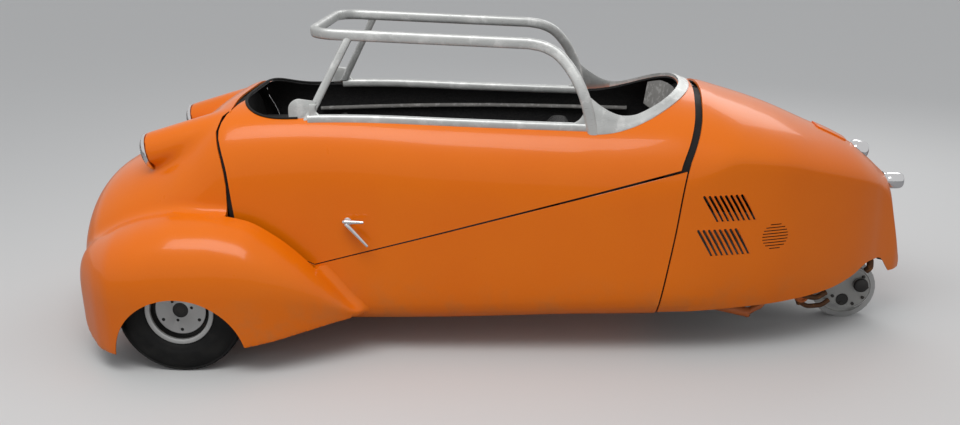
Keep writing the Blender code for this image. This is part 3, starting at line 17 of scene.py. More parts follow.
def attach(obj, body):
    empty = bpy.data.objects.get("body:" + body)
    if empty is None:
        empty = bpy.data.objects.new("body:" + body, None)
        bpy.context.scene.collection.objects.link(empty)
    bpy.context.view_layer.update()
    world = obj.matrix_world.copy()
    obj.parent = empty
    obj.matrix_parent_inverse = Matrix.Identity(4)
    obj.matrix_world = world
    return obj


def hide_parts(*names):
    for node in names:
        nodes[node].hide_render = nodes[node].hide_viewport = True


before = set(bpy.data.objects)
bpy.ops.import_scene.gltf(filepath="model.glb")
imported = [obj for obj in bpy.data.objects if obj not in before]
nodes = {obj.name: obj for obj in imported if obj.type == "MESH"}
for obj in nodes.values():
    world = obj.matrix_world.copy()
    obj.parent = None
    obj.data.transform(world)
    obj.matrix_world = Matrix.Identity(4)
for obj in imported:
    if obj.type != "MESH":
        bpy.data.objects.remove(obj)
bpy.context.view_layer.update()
FRONT_OVERHANG = 0.442
REAR_OVERHANG = 2.48
LENGTH = FRONT_OVERHANG + REAR_OVERHANG
MIDDLE_X = (REAR_OVERHANG - FRONT_OVERHANG) / 2
BODY_HALF_WIDTH = 0.43
BODY_HEIGHT = 0.875

# %% [markdown]
# The photographer stood a few steps away on the car's left and looked slightly down, a touch
# towards the nose. A camera's matrix can be written from its three axes: right, up and backwards.
# The camera isn't shifted, so the same lens also serves the other views.

# %% Camera
CAMERA_PLACE = Vector((0.121, -3.701, 1.513))
YAW, PITCH, ROLL = -0.048, 0.295, 0.011
ahead = Vector((sin(YAW) * cos(PITCH), cos(YAW) * cos(PITCH), -sin(PITCH)))
level = Vector((cos(YAW), -sin(YAW), 0))
upward = level.cross(ahead)
right = level * cos(ROLL) - upward * sin(ROLL)
top = level * sin(ROLL) + upward * cos(ROLL)
camera = bpy.data.objects.new("camera", bpy.data.cameras.new("camera"))
camera.data.lens, camera.data.sensor_width = 39.585, 36.0
turned = Matrix((right, top, -ahead)).transposed()
camera.matrix_world = Matrix.Translation(CAMERA_PLACE) @ turned.to_4x4()
bpy.context.scene.collection.objects.link(camera)
bpy.context.scene.camera = camera
bpy.context.scene.view_settings.view_transform = "Standard"
print("camera looks along", [round(v, 3) for v in ahead])

# %% [markdown]
# Shader arithmetic reads best as plain sums. One small class wraps a socket and turns each
# operator into a Math node, and one method of the finish adds every other kind of node. Each
# finish reads Object coordinates, so it stays put on the piece while the joints move.

# %% A socket that takes part in sums
class Wire:
    def __init__(self, finish, socket):
        self.finish, self.socket = finish, socket

    def join(self, operation, other, swapped=False):
        first, second = (other, self) if swapped else (self, other)
        return self.finish.node("ShaderNodeMath", {"operation": operation}, {0: first, 1: second})

    def __add__(self, other):
        return self.join("ADD", other)

    def __radd__(self, other):
        return self.join("ADD", other, True)

    def __rsub__(self, other):
        return self.join("SUBTRACT", other, True)

    def __mul__(self, other):
        return self.join("MULTIPLY", other)

    def __rmul__(self, other):
        return self.join("MULTIPLY", other, True)


# %% A finish and its nodes
class Finish:
    def __init__(self, name, **constants):
        self.material = bpy.data.materials.new(name)
        self.material.use_nodes = True
        self.tree = self.material.node_tree
        self.shader = self.tree.nodes["Principled BSDF"]
        for socket, value in constants.items():
            self.shader.inputs[socket.replace("_", " ")].default_value = value
        self.place = self.node("ShaderNodeTexCoord", {"out": "Object"}, {})

    def node(self, kind, settings, sockets):
        made = self.tree.nodes.new(kind)
        settings = dict(settings)
        out = settings.pop("out", 0)
        for key, value in settings.items():
            setattr(made, key, value)
        for key, value in sockets.items():
            if isinstance(value, Wire):
                self.tree.links.new(value.socket, made.inputs[key])
            else:
                made.inputs[key].default_value = value
        return Wire(self, made.outputs[out])

    def stretched(self, x, y, z):
        return self.node("ShaderNodeVectorMath", {"operation": "MULTIPLY"}, {0: self.place, 1: (x, y, z)})

    def noise(self, scale, detail=4.0, place=None):
        return self.node("ShaderNodeTexNoise", {}, {
            "Vector": place or self.place, "Scale": scale, "Detail": detail, "Roughness": 0.6})

    def cells(self, scale, place=None, feature="F1"):
        return self.node("ShaderNodeTexVoronoi", {"feature": feature}, {
            "Vector": place or self.place, "Scale": scale})

    def step(self, value, low, high):
        return self.node("ShaderNodeMapRange", {"interpolation_type": "SMOOTHSTEP"}, {
            "Value": value, "From Min": low, "From Max": high})

    def mixed(self, factor, first, second):
        return self.node("ShaderNodeMix", {"data_type": "RGBA", "out": 2}, {0: factor, 6: first, 7: second})

    def height(self, axis):
        return self.node("ShaderNodeSeparateXYZ", {"out": axis}, {0: self.place})

    def feed(self, **sockets):
        for name, wire in sockets.items():
            self.tree.links.new(wire.socket, self.shader.inputs[name.replace("_", " ")])

    def bump(self, height, distance):
        return self.node("ShaderNodeBump", {}, {"Height": height, "Distance": distance, "Strength": 1.0})


# %% [markdown]
# The body is hand painted in a warm orange over laid-up sheet. Real paint on such a body shows a
# faint orange peel in its gloss, a slight drift of colour from panel to panel, and dust that
# settles where it is low. Noise at three scales gives these: broad for the colour, fine for the
# peel, and a band near the ground for the dust.

# %% Orange paint
PAINT = Finish("orange_paint", Coat_Roughness=0.05, Specular_IOR_Level=0.22)
drift = PAINT.noise(2.2, 3)
fleck = PAINT.noise(160, 2)
low_down = (1 - PAINT.step(PAINT.height(2), 0.1, 0.34)) * PAINT.step(PAINT.noise(9, 6), 0.42, 0.7)
warm = PAINT.mixed(drift, (0.8, 0.15, 0.001, 1), (0.87, 0.195, 0.001, 1))
warm = PAINT.mixed(fleck * 0.12, warm, (0.6, 0.1, 0.003, 1))
PAINT.feed(
    Base_Color=PAINT.mixed(low_down * 0.3, warm, (0.36, 0.2, 0.09, 1)),
    Roughness=0.24 + 0.12 * PAINT.noise(6, 5) + 0.25 * low_down,
    Coat_Weight=0.3 - 0.2 * low_down,
    Normal=PAINT.bump(PAINT.noise(420, 2) * 0.6 + PAINT.noise(60, 2), 0.00012))
print("orange paint:", len(PAINT.tree.nodes), "nodes")

# %% [markdown]
# Inside, the panels are coloured nearly black as painted shade for the inside of the laid-up shell:
# matt, with the weave of the mat just telling. Crossed noises, each stretched along one axis, stand for the
# strands.

# %% Painted shade inside the shell, and dark trim
# Nearly black base colour: painted shade on the shell's inner faces and on the walls of slots and holes;
# the dial face wears it as its own black.
INNER = Finish("painted_shade_and_dial_black")
strands = INNER.noise(90, 3, INNER.stretched(1, 6, 1)) + INNER.noise(90, 3, INNER.stretched(6, 1, 1))
INNER.feed(
    Base_Color=INNER.mixed(INNER.step(strands, 0.8, 1.3), (0.01, 0.01, 0.011, 1), (0.032, 0.03, 0.029, 1)),
    Roughness=0.62 + 0.25 * INNER.noise(25),
    Normal=INNER.bump(strands, 0.0006))
DARK = Finish("dark_trim")
DARK.feed(
    Base_Color=DARK.mixed(DARK.noise(14, 5), (0.016, 0.016, 0.017, 1), (0.04, 0.038, 0.036, 1)),
    Roughness=0.48 + 0.22 * DARK.noise(40),
    Normal=DARK.bump(DARK.cells(900), 0.00015))
print("dark finishes:", INNER.material.name, DARK.material.name)

# %% [markdown]
# The window frame is bare aluminium that has been handled for years. It is dull rather than
# bright: broad grey clouds of oxide, fine scratches that run every way, and paler rubbed spots.
# Stretched noises crossed at angles make the scratches, in colour, roughness and relief at once.

# %% Worn aluminium
ALLOY = Finish("worn_aluminium", Metallic=0.72)
clouds = ALLOY.noise(7, 6)
scratches = ALLOY.step(ALLOY.noise(38, 3, ALLOY.stretched(1, 14, 14)), 0.55, 0.78)
across = ALLOY.step(ALLOY.noise(30, 3, ALLOY.stretched(16, 1, 5)), 0.58, 0.8)
rubbed = ALLOY.step(ALLOY.noise(20, 5), 0.5, 0.66)
grey = ALLOY.mixed(clouds, (0.46, 0.47, 0.46, 1), (0.78, 0.79, 0.77, 1))
grey = ALLOY.mixed(rubbed * 0.5, grey, (0.9, 0.9, 0.88, 1))
grey = ALLOY.mixed(scratches * 0.45, grey, (0.2, 0.2, 0.19, 1))
ALLOY.feed(
    Base_Color=grey,
    Roughness=0.36 + 0.22 * clouds + 0.14 * scratches,
    Normal=ALLOY.bump(scratches + across + 0.5 * ALLOY.noise(240, 2), 0.00012))
print("aluminium:", len(ALLOY.tree.nodes), "nodes")

# %% [markdown]
# Chrome is a mirror with a little life in it: faint wiping smears in the roughness, and a few
# tarnish pits. Too even a mirror looks like a toy's.

# %% Chrome
CHROME = Finish("chrome", Metallic=1.0)
pits = CHROME.step(CHROME.noise(130, 3), 0.66, 0.74)
CHROME.feed(
    Base_Color=CHROME.mixed(pits * 0.6, (0.82, 0.82, 0.83, 1), (0.34, 0.29, 0.24, 1)),
    Roughness=0.07 + 0.1 * CHROME.noise(12, 5, CHROME.stretched(1, 1, 5)) + 0.3 * pits,
    Normal=CHROME.bump(CHROME.noise(18, 2), 0.0002))
print("chrome:", CHROME.material.name)

# %% [markdown]
# The rest of the metal is plainer work: sooty steel underneath, silver paint on the wheels, dark
# paint on their drums, which also serves as painted shade in recesses and open tube ends, sand-cast
# alloy on the drive case, and rusty brown on the hot parts. One helper makes this family: two tones
# clouded together, a speckle of a third, and a grain.

# %% Rough metals and paints
def rough_finish(name, light, dark, spot, grain, relief, roughness, metallic, spots=(0.6, 0.72)):
    finish = Finish(name, Metallic=metallic)
    tone = finish.noise(11, 6)
    speckle = finish.step(finish.noise(46, 5), *spots)
    colour = finish.mixed(tone, (*dark, 1), (*light, 1))
    finish.feed(
        Base_Color=finish.mixed(speckle * 0.7, colour, (*spot, 1)),
        Roughness=roughness + 0.2 * tone + 0.1 * speckle,
        Normal=finish.bump(finish.noise(grain, 4) + 0.4 * speckle, relief))
    return finish


STEEL, SILVER, DRUM_AND_SHADE, CAST, HEATED, ENAMEL = (rough_finish(*row) for row in (
    ("dark_steel", (0.085, 0.08, 0.074), (0.03, 0.028, 0.026), (0.13, 0.06, 0.028), 170, 0.0004, 0.42, 0.6),
    ("wheel_silver", (0.62, 0.62, 0.61), (0.47, 0.47, 0.46), (0.33, 0.31, 0.29), 300, 0.0001, 0.28, 0.75,
     (0.66, 0.74)),
    ("drum_paint_and_shade", (0.055, 0.053, 0.05), (0.022, 0.021, 0.02), (0.15, 0.095, 0.06), 210, 0.0003, 0.45, 0.4),
    ("cast_alloy", (0.5, 0.5, 0.48), (0.33, 0.33, 0.32), (0.2, 0.18, 0.16), 420, 0.0006, 0.45, 0.85),
    ("heated_brown", (0.2, 0.085, 0.035), (0.075, 0.04, 0.024), (0.38, 0.16, 0.05), 140, 0.0005, 0.55, 0.5,
     (0.52, 0.66)),
    ("orange_enamel", (0.74, 0.2, 0.05), (0.56, 0.13, 0.03), (0.2, 0.09, 0.05), 120, 0.0003, 0.38, 0.0,
     (0.6, 0.7))))
print("rough metals:", [f.material.name for f in (STEEL, SILVER, DRUM_AND_SHADE, CAST, HEATED, ENAMEL)])

# %% [markdown]
# Rubber and vinyl are both black, yet nobody mixes them up. Rubber is matt, greyed by dust, and
# paler where it has scrubbed on the road. Vinyl has a fine leather grain, which a cell texture
# gives, and a soft shine on its high places.

# %% Rubber, vinyl and seals
RUBBER = Finish("tyre_rubber", Specular_IOR_Level=0.25)
scrubbed = RUBBER.step(RUBBER.noise(16, 6), 0.42, 0.68)
RUBBER.feed(
    Base_Color=RUBBER.mixed(scrubbed * 0.55, (0.006, 0.006, 0.006, 1), (0.026, 0.025, 0.023, 1)),
    Roughness=0.62 + 0.22 * scrubbed,
    Normal=RUBBER.bump(RUBBER.noise(500, 2) + RUBBER.noise(45, 3), 0.0003))
VINYL = Finish("black_vinyl", Specular_IOR_Level=0.3)
grain = VINYL.cells(430, VINYL.stretched(1, 1.3, 1), "DISTANCE_TO_EDGE")
VINYL.feed(
    Base_Color=VINYL.mixed(VINYL.noise(9, 5), (0.012, 0.012, 0.013, 1), (0.034, 0.032, 0.031, 1)),
    Roughness=0.4 + 0.25 * VINYL.step(grain, 0.0, 0.12),
    Normal=VINYL.bump(VINYL.step(grain, 0.0, 0.1) + 0.5 * VINYL.noise(30, 4), 0.0004))
print("rubber and vinyl ready")

# %% [markdown]
# A headlamp is a clear ribbed glass over a silvered bowl. The glass here is one thin clear
# surface: its ribs are a fine wave of bump, and the bowl behind does the shining. The tail
# lamp's lens is a deep red.

# %% Lamp glass, bowl and red lens
GLASS = Finish("lamp_glass", Transmission_Weight=0.92, IOR=1.46, Specular_IOR_Level=0.6)
ribs = GLASS.node("ShaderNodeMath", {"operation": "SINE"}, {0: GLASS.height(1) * 900.0, 1: 0.0})
GLASS.feed(
    Base_Color=GLASS.mixed(GLASS.noise(30, 4), (0.93, 0.95, 0.95, 1), (0.8, 0.84, 0.84, 1)),
    Roughness=0.04 + 0.06 * GLASS.noise(24, 5),
    Normal=GLASS.bump(ribs + GLASS.noise(70, 2), 0.0003))
BOWL = rough_finish("lamp_bowl", (0.9, 0.9, 0.89), (0.74, 0.75, 0.75), (0.55, 0.52, 0.46),
                    60, 0.0001, 0.1, 1.0, (0.68, 0.76))
LENS = Finish("red_lens", Transmission_Weight=0.25, Coat_Roughness=0.05)
facets = LENS.cells(260)
LENS.feed(
    Base_Color=LENS.mixed(facets, (0.2, 0.006, 0.005, 1), (0.055, 0.002, 0.002, 1)),
    Roughness=0.14 + 0.12 * LENS.noise(40),
    Coat_Weight=0.8 - 0.2 * LENS.noise(20),
    Normal=LENS.bump(facets, 0.0006))
print("lamps:", GLASS.material.name, BOWL.material.name, LENS.material.name)

# %% [markdown]
# Every node of the frame gets a finish through its own slots first. Those that a finer piece
# replaces later keep theirs, so nothing is ever left in one flat colour.

# %% Finishes on the frame's own nodes
NODE_FINISHES = {
    PAINT: "nose_shell tub canopy_shell tail_shell front_wing",
    ALLOY: "sill_rail roof_rail front_pillar rear_band",
    ENAMEL: "subframe_tube",
    CHROME: "headlamp canopy_handle tail_lamp tail_end_piece",
    RUBBER: "front_tyre",
    SILVER: "front_rim rear_rim",
    DRUM_AND_SHADE: "front_drum rear_hub",
    CAST: "drive_case engine_block",
    HEATED: "exhaust_silencer",
    VINYL: "front_seat_cushion front_seat_back rear_seat_cushion rear_seat_back",
    DARK: "dash_pod scuttle rear_bulkhead front_seat_base rear_seat_base steering_bar",
}
named = {}
for finish, words in NODE_FINISHES.items():
    for word in words.split():
        for name in nodes:
            if name.startswith(word):
                named[name] = finish
for name, item in nodes.items():
    for slot in item.material_slots:
        slot.material = named.get(name, STEEL).material
print("plain steel:", sorted(set(nodes) - set(named)))

# %% [markdown]
# The body is one smooth form, like a boat's hull laid on its keel. A table gives its half width,
# heights and roundness at each station, as shares of the whole, and a smooth curve joins the rows.
# The surface could be typed in as points. It is easier to take a flat grid and wrap it: one way of
# the grid runs along the car, the other goes round the section.

# %% The form's table and its smooth curves
BODY_SHARES = (
    # along, half width, bottom, widest place, top, roundness above and below
    (0.0000, 0.2, 0.24, 0.32, 0.385, 2.0, 2.0), (0.0031, 0.42, 0.18, 0.32, 0.45, 2.0, 2.1),
    (0.011, 0.62, 0.13, 0.32, 0.53, 2.1, 2.3), (0.024, 0.78, 0.105, 0.32, 0.61, 2.2, 2.6),
    (0.0431, 0.895, 0.097, 0.32, 0.67, 2.3, 3.0), (0.0755, 0.955, 0.103, 0.34, 0.725, 2.4, 3.4),
    (0.1165, 0.968, 0.11, 0.366, 0.795, 2.6, 4.0), (0.1514, 0.975, 0.112, 0.4, 0.87, 3.1, 5.0),
    (0.2024, 0.977, 0.12, 0.48, 0.971, 3.9, 7.0), (0.3053, 0.98, 0.127, 0.514, 0.989, 4.0, 10.0),
    (0.4552, 1.000, 0.137, 0.549, 0.989, 3.3, 10.0), (0.615, 1.000, 0.153, 0.58, 0.994, 2.7, 10.0),
    (0.7057, 0.99, 0.155, 0.65, 1.000, 2.4, 10.0), (0.7399, 0.972, 0.14, 0.71, 0.993, 2.1, 9.0),
    (0.7731, 0.93, 0.115, 0.762, 0.965, 1.9, 8.0), (0.8196, 0.85, 0.1, 0.748, 0.915, 1.8, 7.0),
    (0.87, 0.705, 0.1, 0.704, 0.843, 1.8, 6.0), (0.9244, 0.5, 0.1, 0.646, 0.757, 1.8, 5.5),
    (0.9487, 0.375, 0.105, 0.61, 0.694, 1.8, 5.0), (0.9614, 0.295, 0.115, 0.58, 0.655, 1.8, 4.5),
    (0.9744, 0.225, 0.13, 0.53, 0.608, 1.9, 4.0), (0.9829, 0.18, 0.145, 0.44, 0.5, 2.0, 3.5),
    (0.9915, 0.13, 0.165, 0.34, 0.385, 2.0, 3.0), (1.0000, 0.05, 0.205, 0.245, 0.28, 2.0, 2.0))


def smooth_value(xs, ys, x):
    """A value between the rows of a table, without overshoot."""
    if x <= xs[0]:
        return ys[0]
    if x >= xs[-1]:
        return ys[-1]
    k = max(i for i in range(len(xs) - 1) if xs[i] <= x)
    slopes = [(ys[i + 1] - ys[i]) / (xs[i + 1] - xs[i]) for i in range(len(xs) - 1)]

    def tangent(i):
        if i == 0 or i == len(xs) - 1:
            return slopes[min(i, len(slopes) - 1)]
        if slopes[i - 1] * slopes[i] <= 0:
            return 0
        return 2 * slopes[i - 1] * slopes[i] / (slopes[i - 1] + slopes[i])

    step = xs[k + 1] - xs[k]
    t = (x - xs[k]) / step
    return ((2 * t ** 3 - 3 * t ** 2 + 1) * ys[k] + (t ** 3 - 2 * t ** 2 + t) * step * tangent(k)
            + (3 * t ** 2 - 2 * t ** 3) * ys[k + 1] + (t ** 3 - t ** 2) * step * tangent(k + 1))


def mm(*numbers, width=2):
    """Rows of a profile typed in millimetres."""
    return [tuple(n / 1000 for n in numbers[i:i + width]) for i in range(0, len(numbers), width)]


def mm3(*numbers):
    return mm(*numbers, width=3)


def spread(first, last, steps):
    """Evenly spaced values from the first to the last."""
    return [first + (last - first) * i / steps for i in range(steps + 1)]


def reach_at(turn, power):
    """How far a rounded square with a half width of 1 reaches at a turn."""
    return (abs(cos(turn)) ** power + abs(sin(turn)) ** power) ** (-1 / power)


def grid(rows, columns):
    shape = bmesh.new()
    bmesh.ops.create_grid(shape, x_segments=rows, y_segments=columns, size=0.5)
    return shape


def only(parts, kind):
    return [part for part in parts if isinstance(part, kind)]


def closed(shape, finish=0, weld=1e-5, fill=True):
    """Weld, close and orient a form, and give all its faces one finish."""
    if weld:
        bmesh.ops.remove_doubles(shape, verts=shape.verts, dist=weld)
    if fill:
        bmesh.ops.holes_fill(shape, edges=[e for e in shape.edges if e.is_boundary], sides=0)
    bmesh.ops.recalc_face_normals(shape, faces=shape.faces)
    for face in shape.faces:
        face.material_index = finish
    return shape


BODY_COLUMNS = list(zip(*BODY_SHARES))


def body_values(along):
    """Half width, bottom, widest height and top in metres, then the two powers."""
    half, bottom, widest, top, upper, lower = [
        smooth_value(BODY_COLUMNS[0], column, along) for column in BODY_COLUMNS[1:]]
    return (half * BODY_HALF_WIDTH, bottom * BODY_HEIGHT, widest * BODY_HEIGHT, top * BODY_HEIGHT,
            upper, lower)


def body_top(x, y):
    """Height of the upper skin over a place on the plan."""
    half, _, widest, top, upper, _ = body_values((x + FRONT_OVERHANG) / LENGTH)
    return widest + (top - widest) * (1 - min(abs(y) / half, 1) ** upper) ** (1 / upper)


def body_side(x, z):
    """Half width of the skin at a place seen from the side."""
    half, bottom, widest, top, upper, lower = body_values((x + FRONT_OVERHANG) / LENGTH)
    rise, power = (top - widest, upper) if z > widest else (bottom - widest, lower)
    return half * (1 - min((z - widest) / rise, 1) ** power) ** (1 / power)


# %% Wrap a grid into the body's form
ROWS, ROUND = ((170, 104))
CROWDING = 0.65


def body_form(inset, finish=0):
    """The whole body, or a form that lies inside it by an inset."""
    shape = grid(ROWS, ROUND)
    stations = {}
    for vert in shape.verts:
        t = round(vert.co.x + 0.5, 6)
        if t not in stations:
            along = (1 - cos(pi * t)) / 2 * CROWDING + t * (1 - CROWDING)
            stations[t] = (along, body_values(along))
        along, (half, bottom, widest, top, upper, lower) = stations[t]
        turn = (vert.co.y + 0.5) * tau
        power, rise = (upper, top - inset - widest) if sin(turn) > 0 else (lower, widest - bottom - inset)
        reach = reach_at(turn, power)
        x = along * (LENGTH - 2 * inset) - FRONT_OVERHANG + inset
        vert.co = (x, (half - inset) * reach * cos(turn), widest + rise * reach * sin(turn))
    return closed(shape, finish)


print("body form:", ROWS, "rows of", ROUND, "points")

# %% [markdown]
# The panels are cut from this form with outlines drawn from the side, as a body maker would saw a
# laid-up shell. A Boolean modifier does the sawing and keeps the finish of each face, so the edge of
# a cut takes the paint of the saw and the inner form brings its nearly black painted shade along.

# %% Saws, cuts and finished pieces
SKIN_GAP = 0.0004
SIDES = (("left", -1), ("right", 1))


def opened(item):
    shape = bmesh.new()
    shape.from_mesh(item.data)
    return shape


def stored(shape, mesh):
    shape.to_mesh(mesh)
    shape.free()


def workpiece(shape, outer=None, inner=None):
    """An object with an outer and an inner finish. One that is named alone serves as both."""
    mesh = bpy.data.meshes.new("work")
    for finish in (outer or PAINT, inner or outer or INNER):
        mesh.materials.append(finish.material)
    stored(shape, mesh)
    item = bpy.data.objects.new("work", mesh)
    bpy.context.scene.collection.objects.link(item)
    return item


def settle(item):
    """Apply an object's modifiers."""
    graph = bpy.context.evaluated_depsgraph_get()
    mesh = bpy.data.meshes.new_from_object(item.evaluated_get(graph))
    item.modifiers.clear()
    old, item.data = item.data, mesh
    bpy.data.meshes.remove(old)
    return item


def cut(item, *tools, operation="DIFFERENCE"):
    for tool in tools:
        saw = item.modifiers.new("saw", "BOOLEAN")
        saw.operation, saw.object, saw.solver = operation, tool, "EXACT"
        settle(item)
        mesh = tool.data
        bpy.data.objects.remove(tool)
        bpy.data.meshes.remove(mesh)
    return item


def remeshed(item, size):
    even = item.modifiers.new("even", "REMESH")
    even.mode, even.voxel_size = "VOXEL", size
    return settle(item)


def trimmed(item, finish, gap=SKIN_GAP):
    """Cut a piece where it would reach nearer to the body's skin than a gap."""
    return cut(item, workpiece(body_form(-gap), finish))


def relaxed(shape, verts, factor):
    bmesh.ops.smooth_vert(shape, verts=verts, factor=factor, use_axis_x=True, use_axis_y=True,
                          use_axis_z=True)


def softened(shape, angle, offset, segments=2, clamp=True):
    """Round off the edges that turn by more than an angle."""
    rim = [e for e in shape.edges if e.calc_face_angle(0) > angle]
    bmesh.ops.bevel(shape, geom=rim, offset=offset, segments=segments, profile=0.5, affect="EDGES",
                    material=-1, clamp_overlap=clamp)


def ring_of(count, radius, centre=(0, 0), start=0):
    """Places round a circle."""
    turns = [start + tau * i / count for i in range(count)]
    return [(centre[0] + radius * cos(turn), centre[1] + radius * sin(turn)) for turn in turns]


def prism(outline, low, high, axis="Y", finish=0):
    """A flat outline pulled straight along an axis."""
    lay = {"Y": lambda a, b, c: (a, c, b), "Z": lambda a, b, c: (a, b, c)}
    shape = bmesh.new()
    shape.faces.new([shape.verts.new(lay[axis](a, b, low)) for a, b in outline])
    raised = bmesh.ops.extrude_face_region(shape, geom=shape.faces[:])["geom"]
    bmesh.ops.translate(shape, vec=lay[axis](0, 0, high - low), verts=only(raised, bmesh.types.BMVert))
    return closed(shape, finish, 0, False)


def finished(item, name, body, replaces=(), sharp=32):
    """Shade a workpiece, move it from the drawing's place to the frame's, and let it ride."""
    shape = opened(item)
    bmesh.ops.translate(shape, verts=shape.verts, vec=(-MIDDLE_X, 0, 0))
    for face in shape.faces:
        face.smooth = True
    for edge in shape.edges:
        edge.smooth = len(edge.link_faces) == 2 and edge.calc_face_angle() < radians(sharp)
    stored(shape, item.data)
    item.name = item.data.name = name
    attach(item, body)
    if replaces:
        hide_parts(*replaces)
    print(name, len(item.data.polygons), "faces")
    return item


# %% Seams drawn from the side
FRONT_SEAM = ((0.45, 0.166), (0.553, 0.155), (0.651, 0.143), (0.712, 0.127), (0.767, 0.112),
              (0.799, 0.119), (0.841, 0.158), (0.862, 0.215))
REAR_SEAM = ((0.15, 1.568), (0.432, 1.618), (0.655, 1.653), (0.742, 1.686), (0.796, 1.704),
             (0.844, 1.716), (0.875, 1.728))
FRONT_GAP, REAR_GAP, DECK_GAP, CREASE_GAP = 0.011, 0.0055, 0.026, 0.005
CREASE_REAR_Z = 0.655
CREASE = ((0.15, 0.45), (0.43, 0.335), (1.653, CREASE_REAR_Z))
LOW, HIGH, WIDE = -0.05, 1.1, 0.8


def seam(table, low, high, shift=0.0):
    """A seam's points between two heights, on a smooth curve through its table."""
    heights, places = zip(*table)
    return [(smooth_value(heights, places, z) + shift, z) for z in spread(low, high, 30)]


def crease_z(x, shift=0.0):
    (a, b), (c, d), (e, f) = CREASE
    return (b + (d - b) * (x - a) / (c - a) if x < c else d + (f - d) * (x - c) / (e - c)) + shift


SHELL = 0.006


def panel(outline):
    """The part of the shell, outer skin and dark inner skin, inside an outline seen from the side."""
    skin = cut(workpiece(body_form(0.0)), workpiece(prism(outline, -WIDE, WIDE)), operation="INTERSECT")
    return cut(skin, workpiece(body_form(SHELL, finish=1)))


# %% [markdown]
# The lower tub is the plain trough of the shell. It ends at the leaning front seam, at the rear
# seam, and at the long crease that climbs from the wing to the tail.

# %% Lower tub
front = seam(FRONT_SEAM, LOW, crease_z(0.16, -CREASE_GAP))
rear = seam(REAR_SEAM, LOW, CREASE_REAR_Z - CREASE_GAP, -REAR_GAP)
tub = panel([*rear, (CREASE[1][0], CREASE[1][1] - CREASE_GAP), *reversed(front)])
finished(tub, "tub_fine", "body", ("tub",))

# %% [markdown]
# The canopy is cowl, upper sides and rear deck in one pressing, with the long cockpit opening cut
# through its top. The opening is a stretched superellipse in plan, blunt in front and round
# behind. The seam to the tail is wide on the deck, where the lid's hinge sits.

# %% Canopy
OPENING_HALF, OPENING_LOW_Z = 0.337, 0.640
OPENING_FRONT_X, OPENING_REAR_X, REAR_POWER = 0.43, 1.337, 2.3
OPENING_ENDS = ((OPENING_FRONT_X, 0.178 - OPENING_FRONT_X, 4.0),
                (OPENING_REAR_X, 1.655 - OPENING_REAR_X, REAR_POWER))


def opening_outline(grow=0.0):
    points = []
    for middle, reach, power in OPENING_ENDS:
        side = copysign(1, -reach)
        for turn in spread(-pi / 2, pi / 2, 36):
            out = reach_at(turn, power)
            points.append((middle + (reach + copysign(grow, reach)) * out * abs(cos(turn)),
                           -side * (OPENING_HALF + grow) * out * sin(turn)))
    return points


front = seam(FRONT_SEAM, crease_z(0.166), HIGH, FRONT_GAP)
rear = seam(REAR_SEAM, CREASE_REAR_Z, HIGH, -DECK_GAP)
canopy = panel([*front, *reversed(rear), CREASE[1]])
cut(canopy, workpiece(prism(opening_outline(), OPENING_LOW_Z, HIGH + 0.1, "Z", finish=1)))
finished(canopy, "canopy_fine", "canopy", ("canopy_shell",))

# %% [markdown]
# The tail cover closes over the engine. Its hem rises behind to clear the wheel, and two rows of
# eight slanting louvres let the heat out. Each louvre on the real lid is a slot with its front
# edge pressed outwards, so the skin is cut through and a curved blade is set in each slot.

# %% Tail cover
TAIL_HEM = ((1.568, 0.158), (1.849, 0.172), (2.065, 0.18), (2.175, 0.194), (2.257, 0.223),
            (2.335, 0.262), (2.375, 0.262), (2.431, 0.195))
LOUVRE_ROWS = ((1.699, 0.572, 0.089), (1.685, 0.458, 0.091))
LOUVRE_COUNT, LOUVRE_PITCH, LOUVRE_SLOT, LOUVRE_LEAN = 8, 0.0177, 0.009, 0.0465


def hem_z(x):
    xs, zs = zip(*TAIL_HEM)
    return smooth_value(xs, zs, x)


far = REAR_OVERHANG + 0.06
tail = panel([*seam(REAR_SEAM, LOW, HIGH), (far, HIGH), (far, LOW)])
hem = [(x, hem_z(x)) for x in spread(TAIL_HEM[0][0], TAIL_HEM[-1][0], 60)]
cut(tail, workpiece(prism([(1.45, LOW - 0.1), (1.45, 0.158), *hem, (far + 0.1, 0.184),
                           (far + 0.1, LOW - 0.1)], -WIDE, WIDE)))


def slot_outline(x, z, height):
    """A slanting slot with rounded ends."""
    points, wide = [], LOUVRE_SLOT
    for end, start in ((0, 1), (1, -1)):
        cx = x + LOUVRE_LEAN * end + wide / 2
        cz = z - height * end - start * wide / 2
        points += [(cx + wide / 2 * cos(a), cz + start * wide / 2 * sin(a))
                   for a in spread(0, pi, 6)][::-1 if end else 1]
    return points


for x, z, height in LOUVRE_ROWS:
    for i in range(LOUVRE_COUNT):
        cut(tail, workpiece(prism(slot_outline(x + i * LOUVRE_PITCH, z, height), -WIDE, WIDE, finish=1)))
SLIT_X, SLIT_Z, SLIT_REACH = 1.95, 0.42, 0.045
for i in range(9):
    up = SLIT_REACH * (i - 4) / 4.4
    reach = (SLIT_REACH ** 2 - up ** 2) ** 0.5
    slit = [(SLIT_X - reach, SLIT_Z + up - 0.0016), (SLIT_X + reach, SLIT_Z + up - 0.0016),
            (SLIT_X + reach, SLIT_Z + up + 0.0016), (SLIT_X - reach, SLIT_Z + up + 0.0016)]
    cut(tail, workpiece(prism(slit, -WIDE, WIDE, finish=1)))
finished(tail, "tail_fine", "tail", ("tail_shell",))

# %% [markdown]
# On the ridge ahead of the tail lamp sits a low raised plate in body colour. A grid is laid on the
# skin, its corners are rounded off, and the sheet is given a thickness and soft edges.

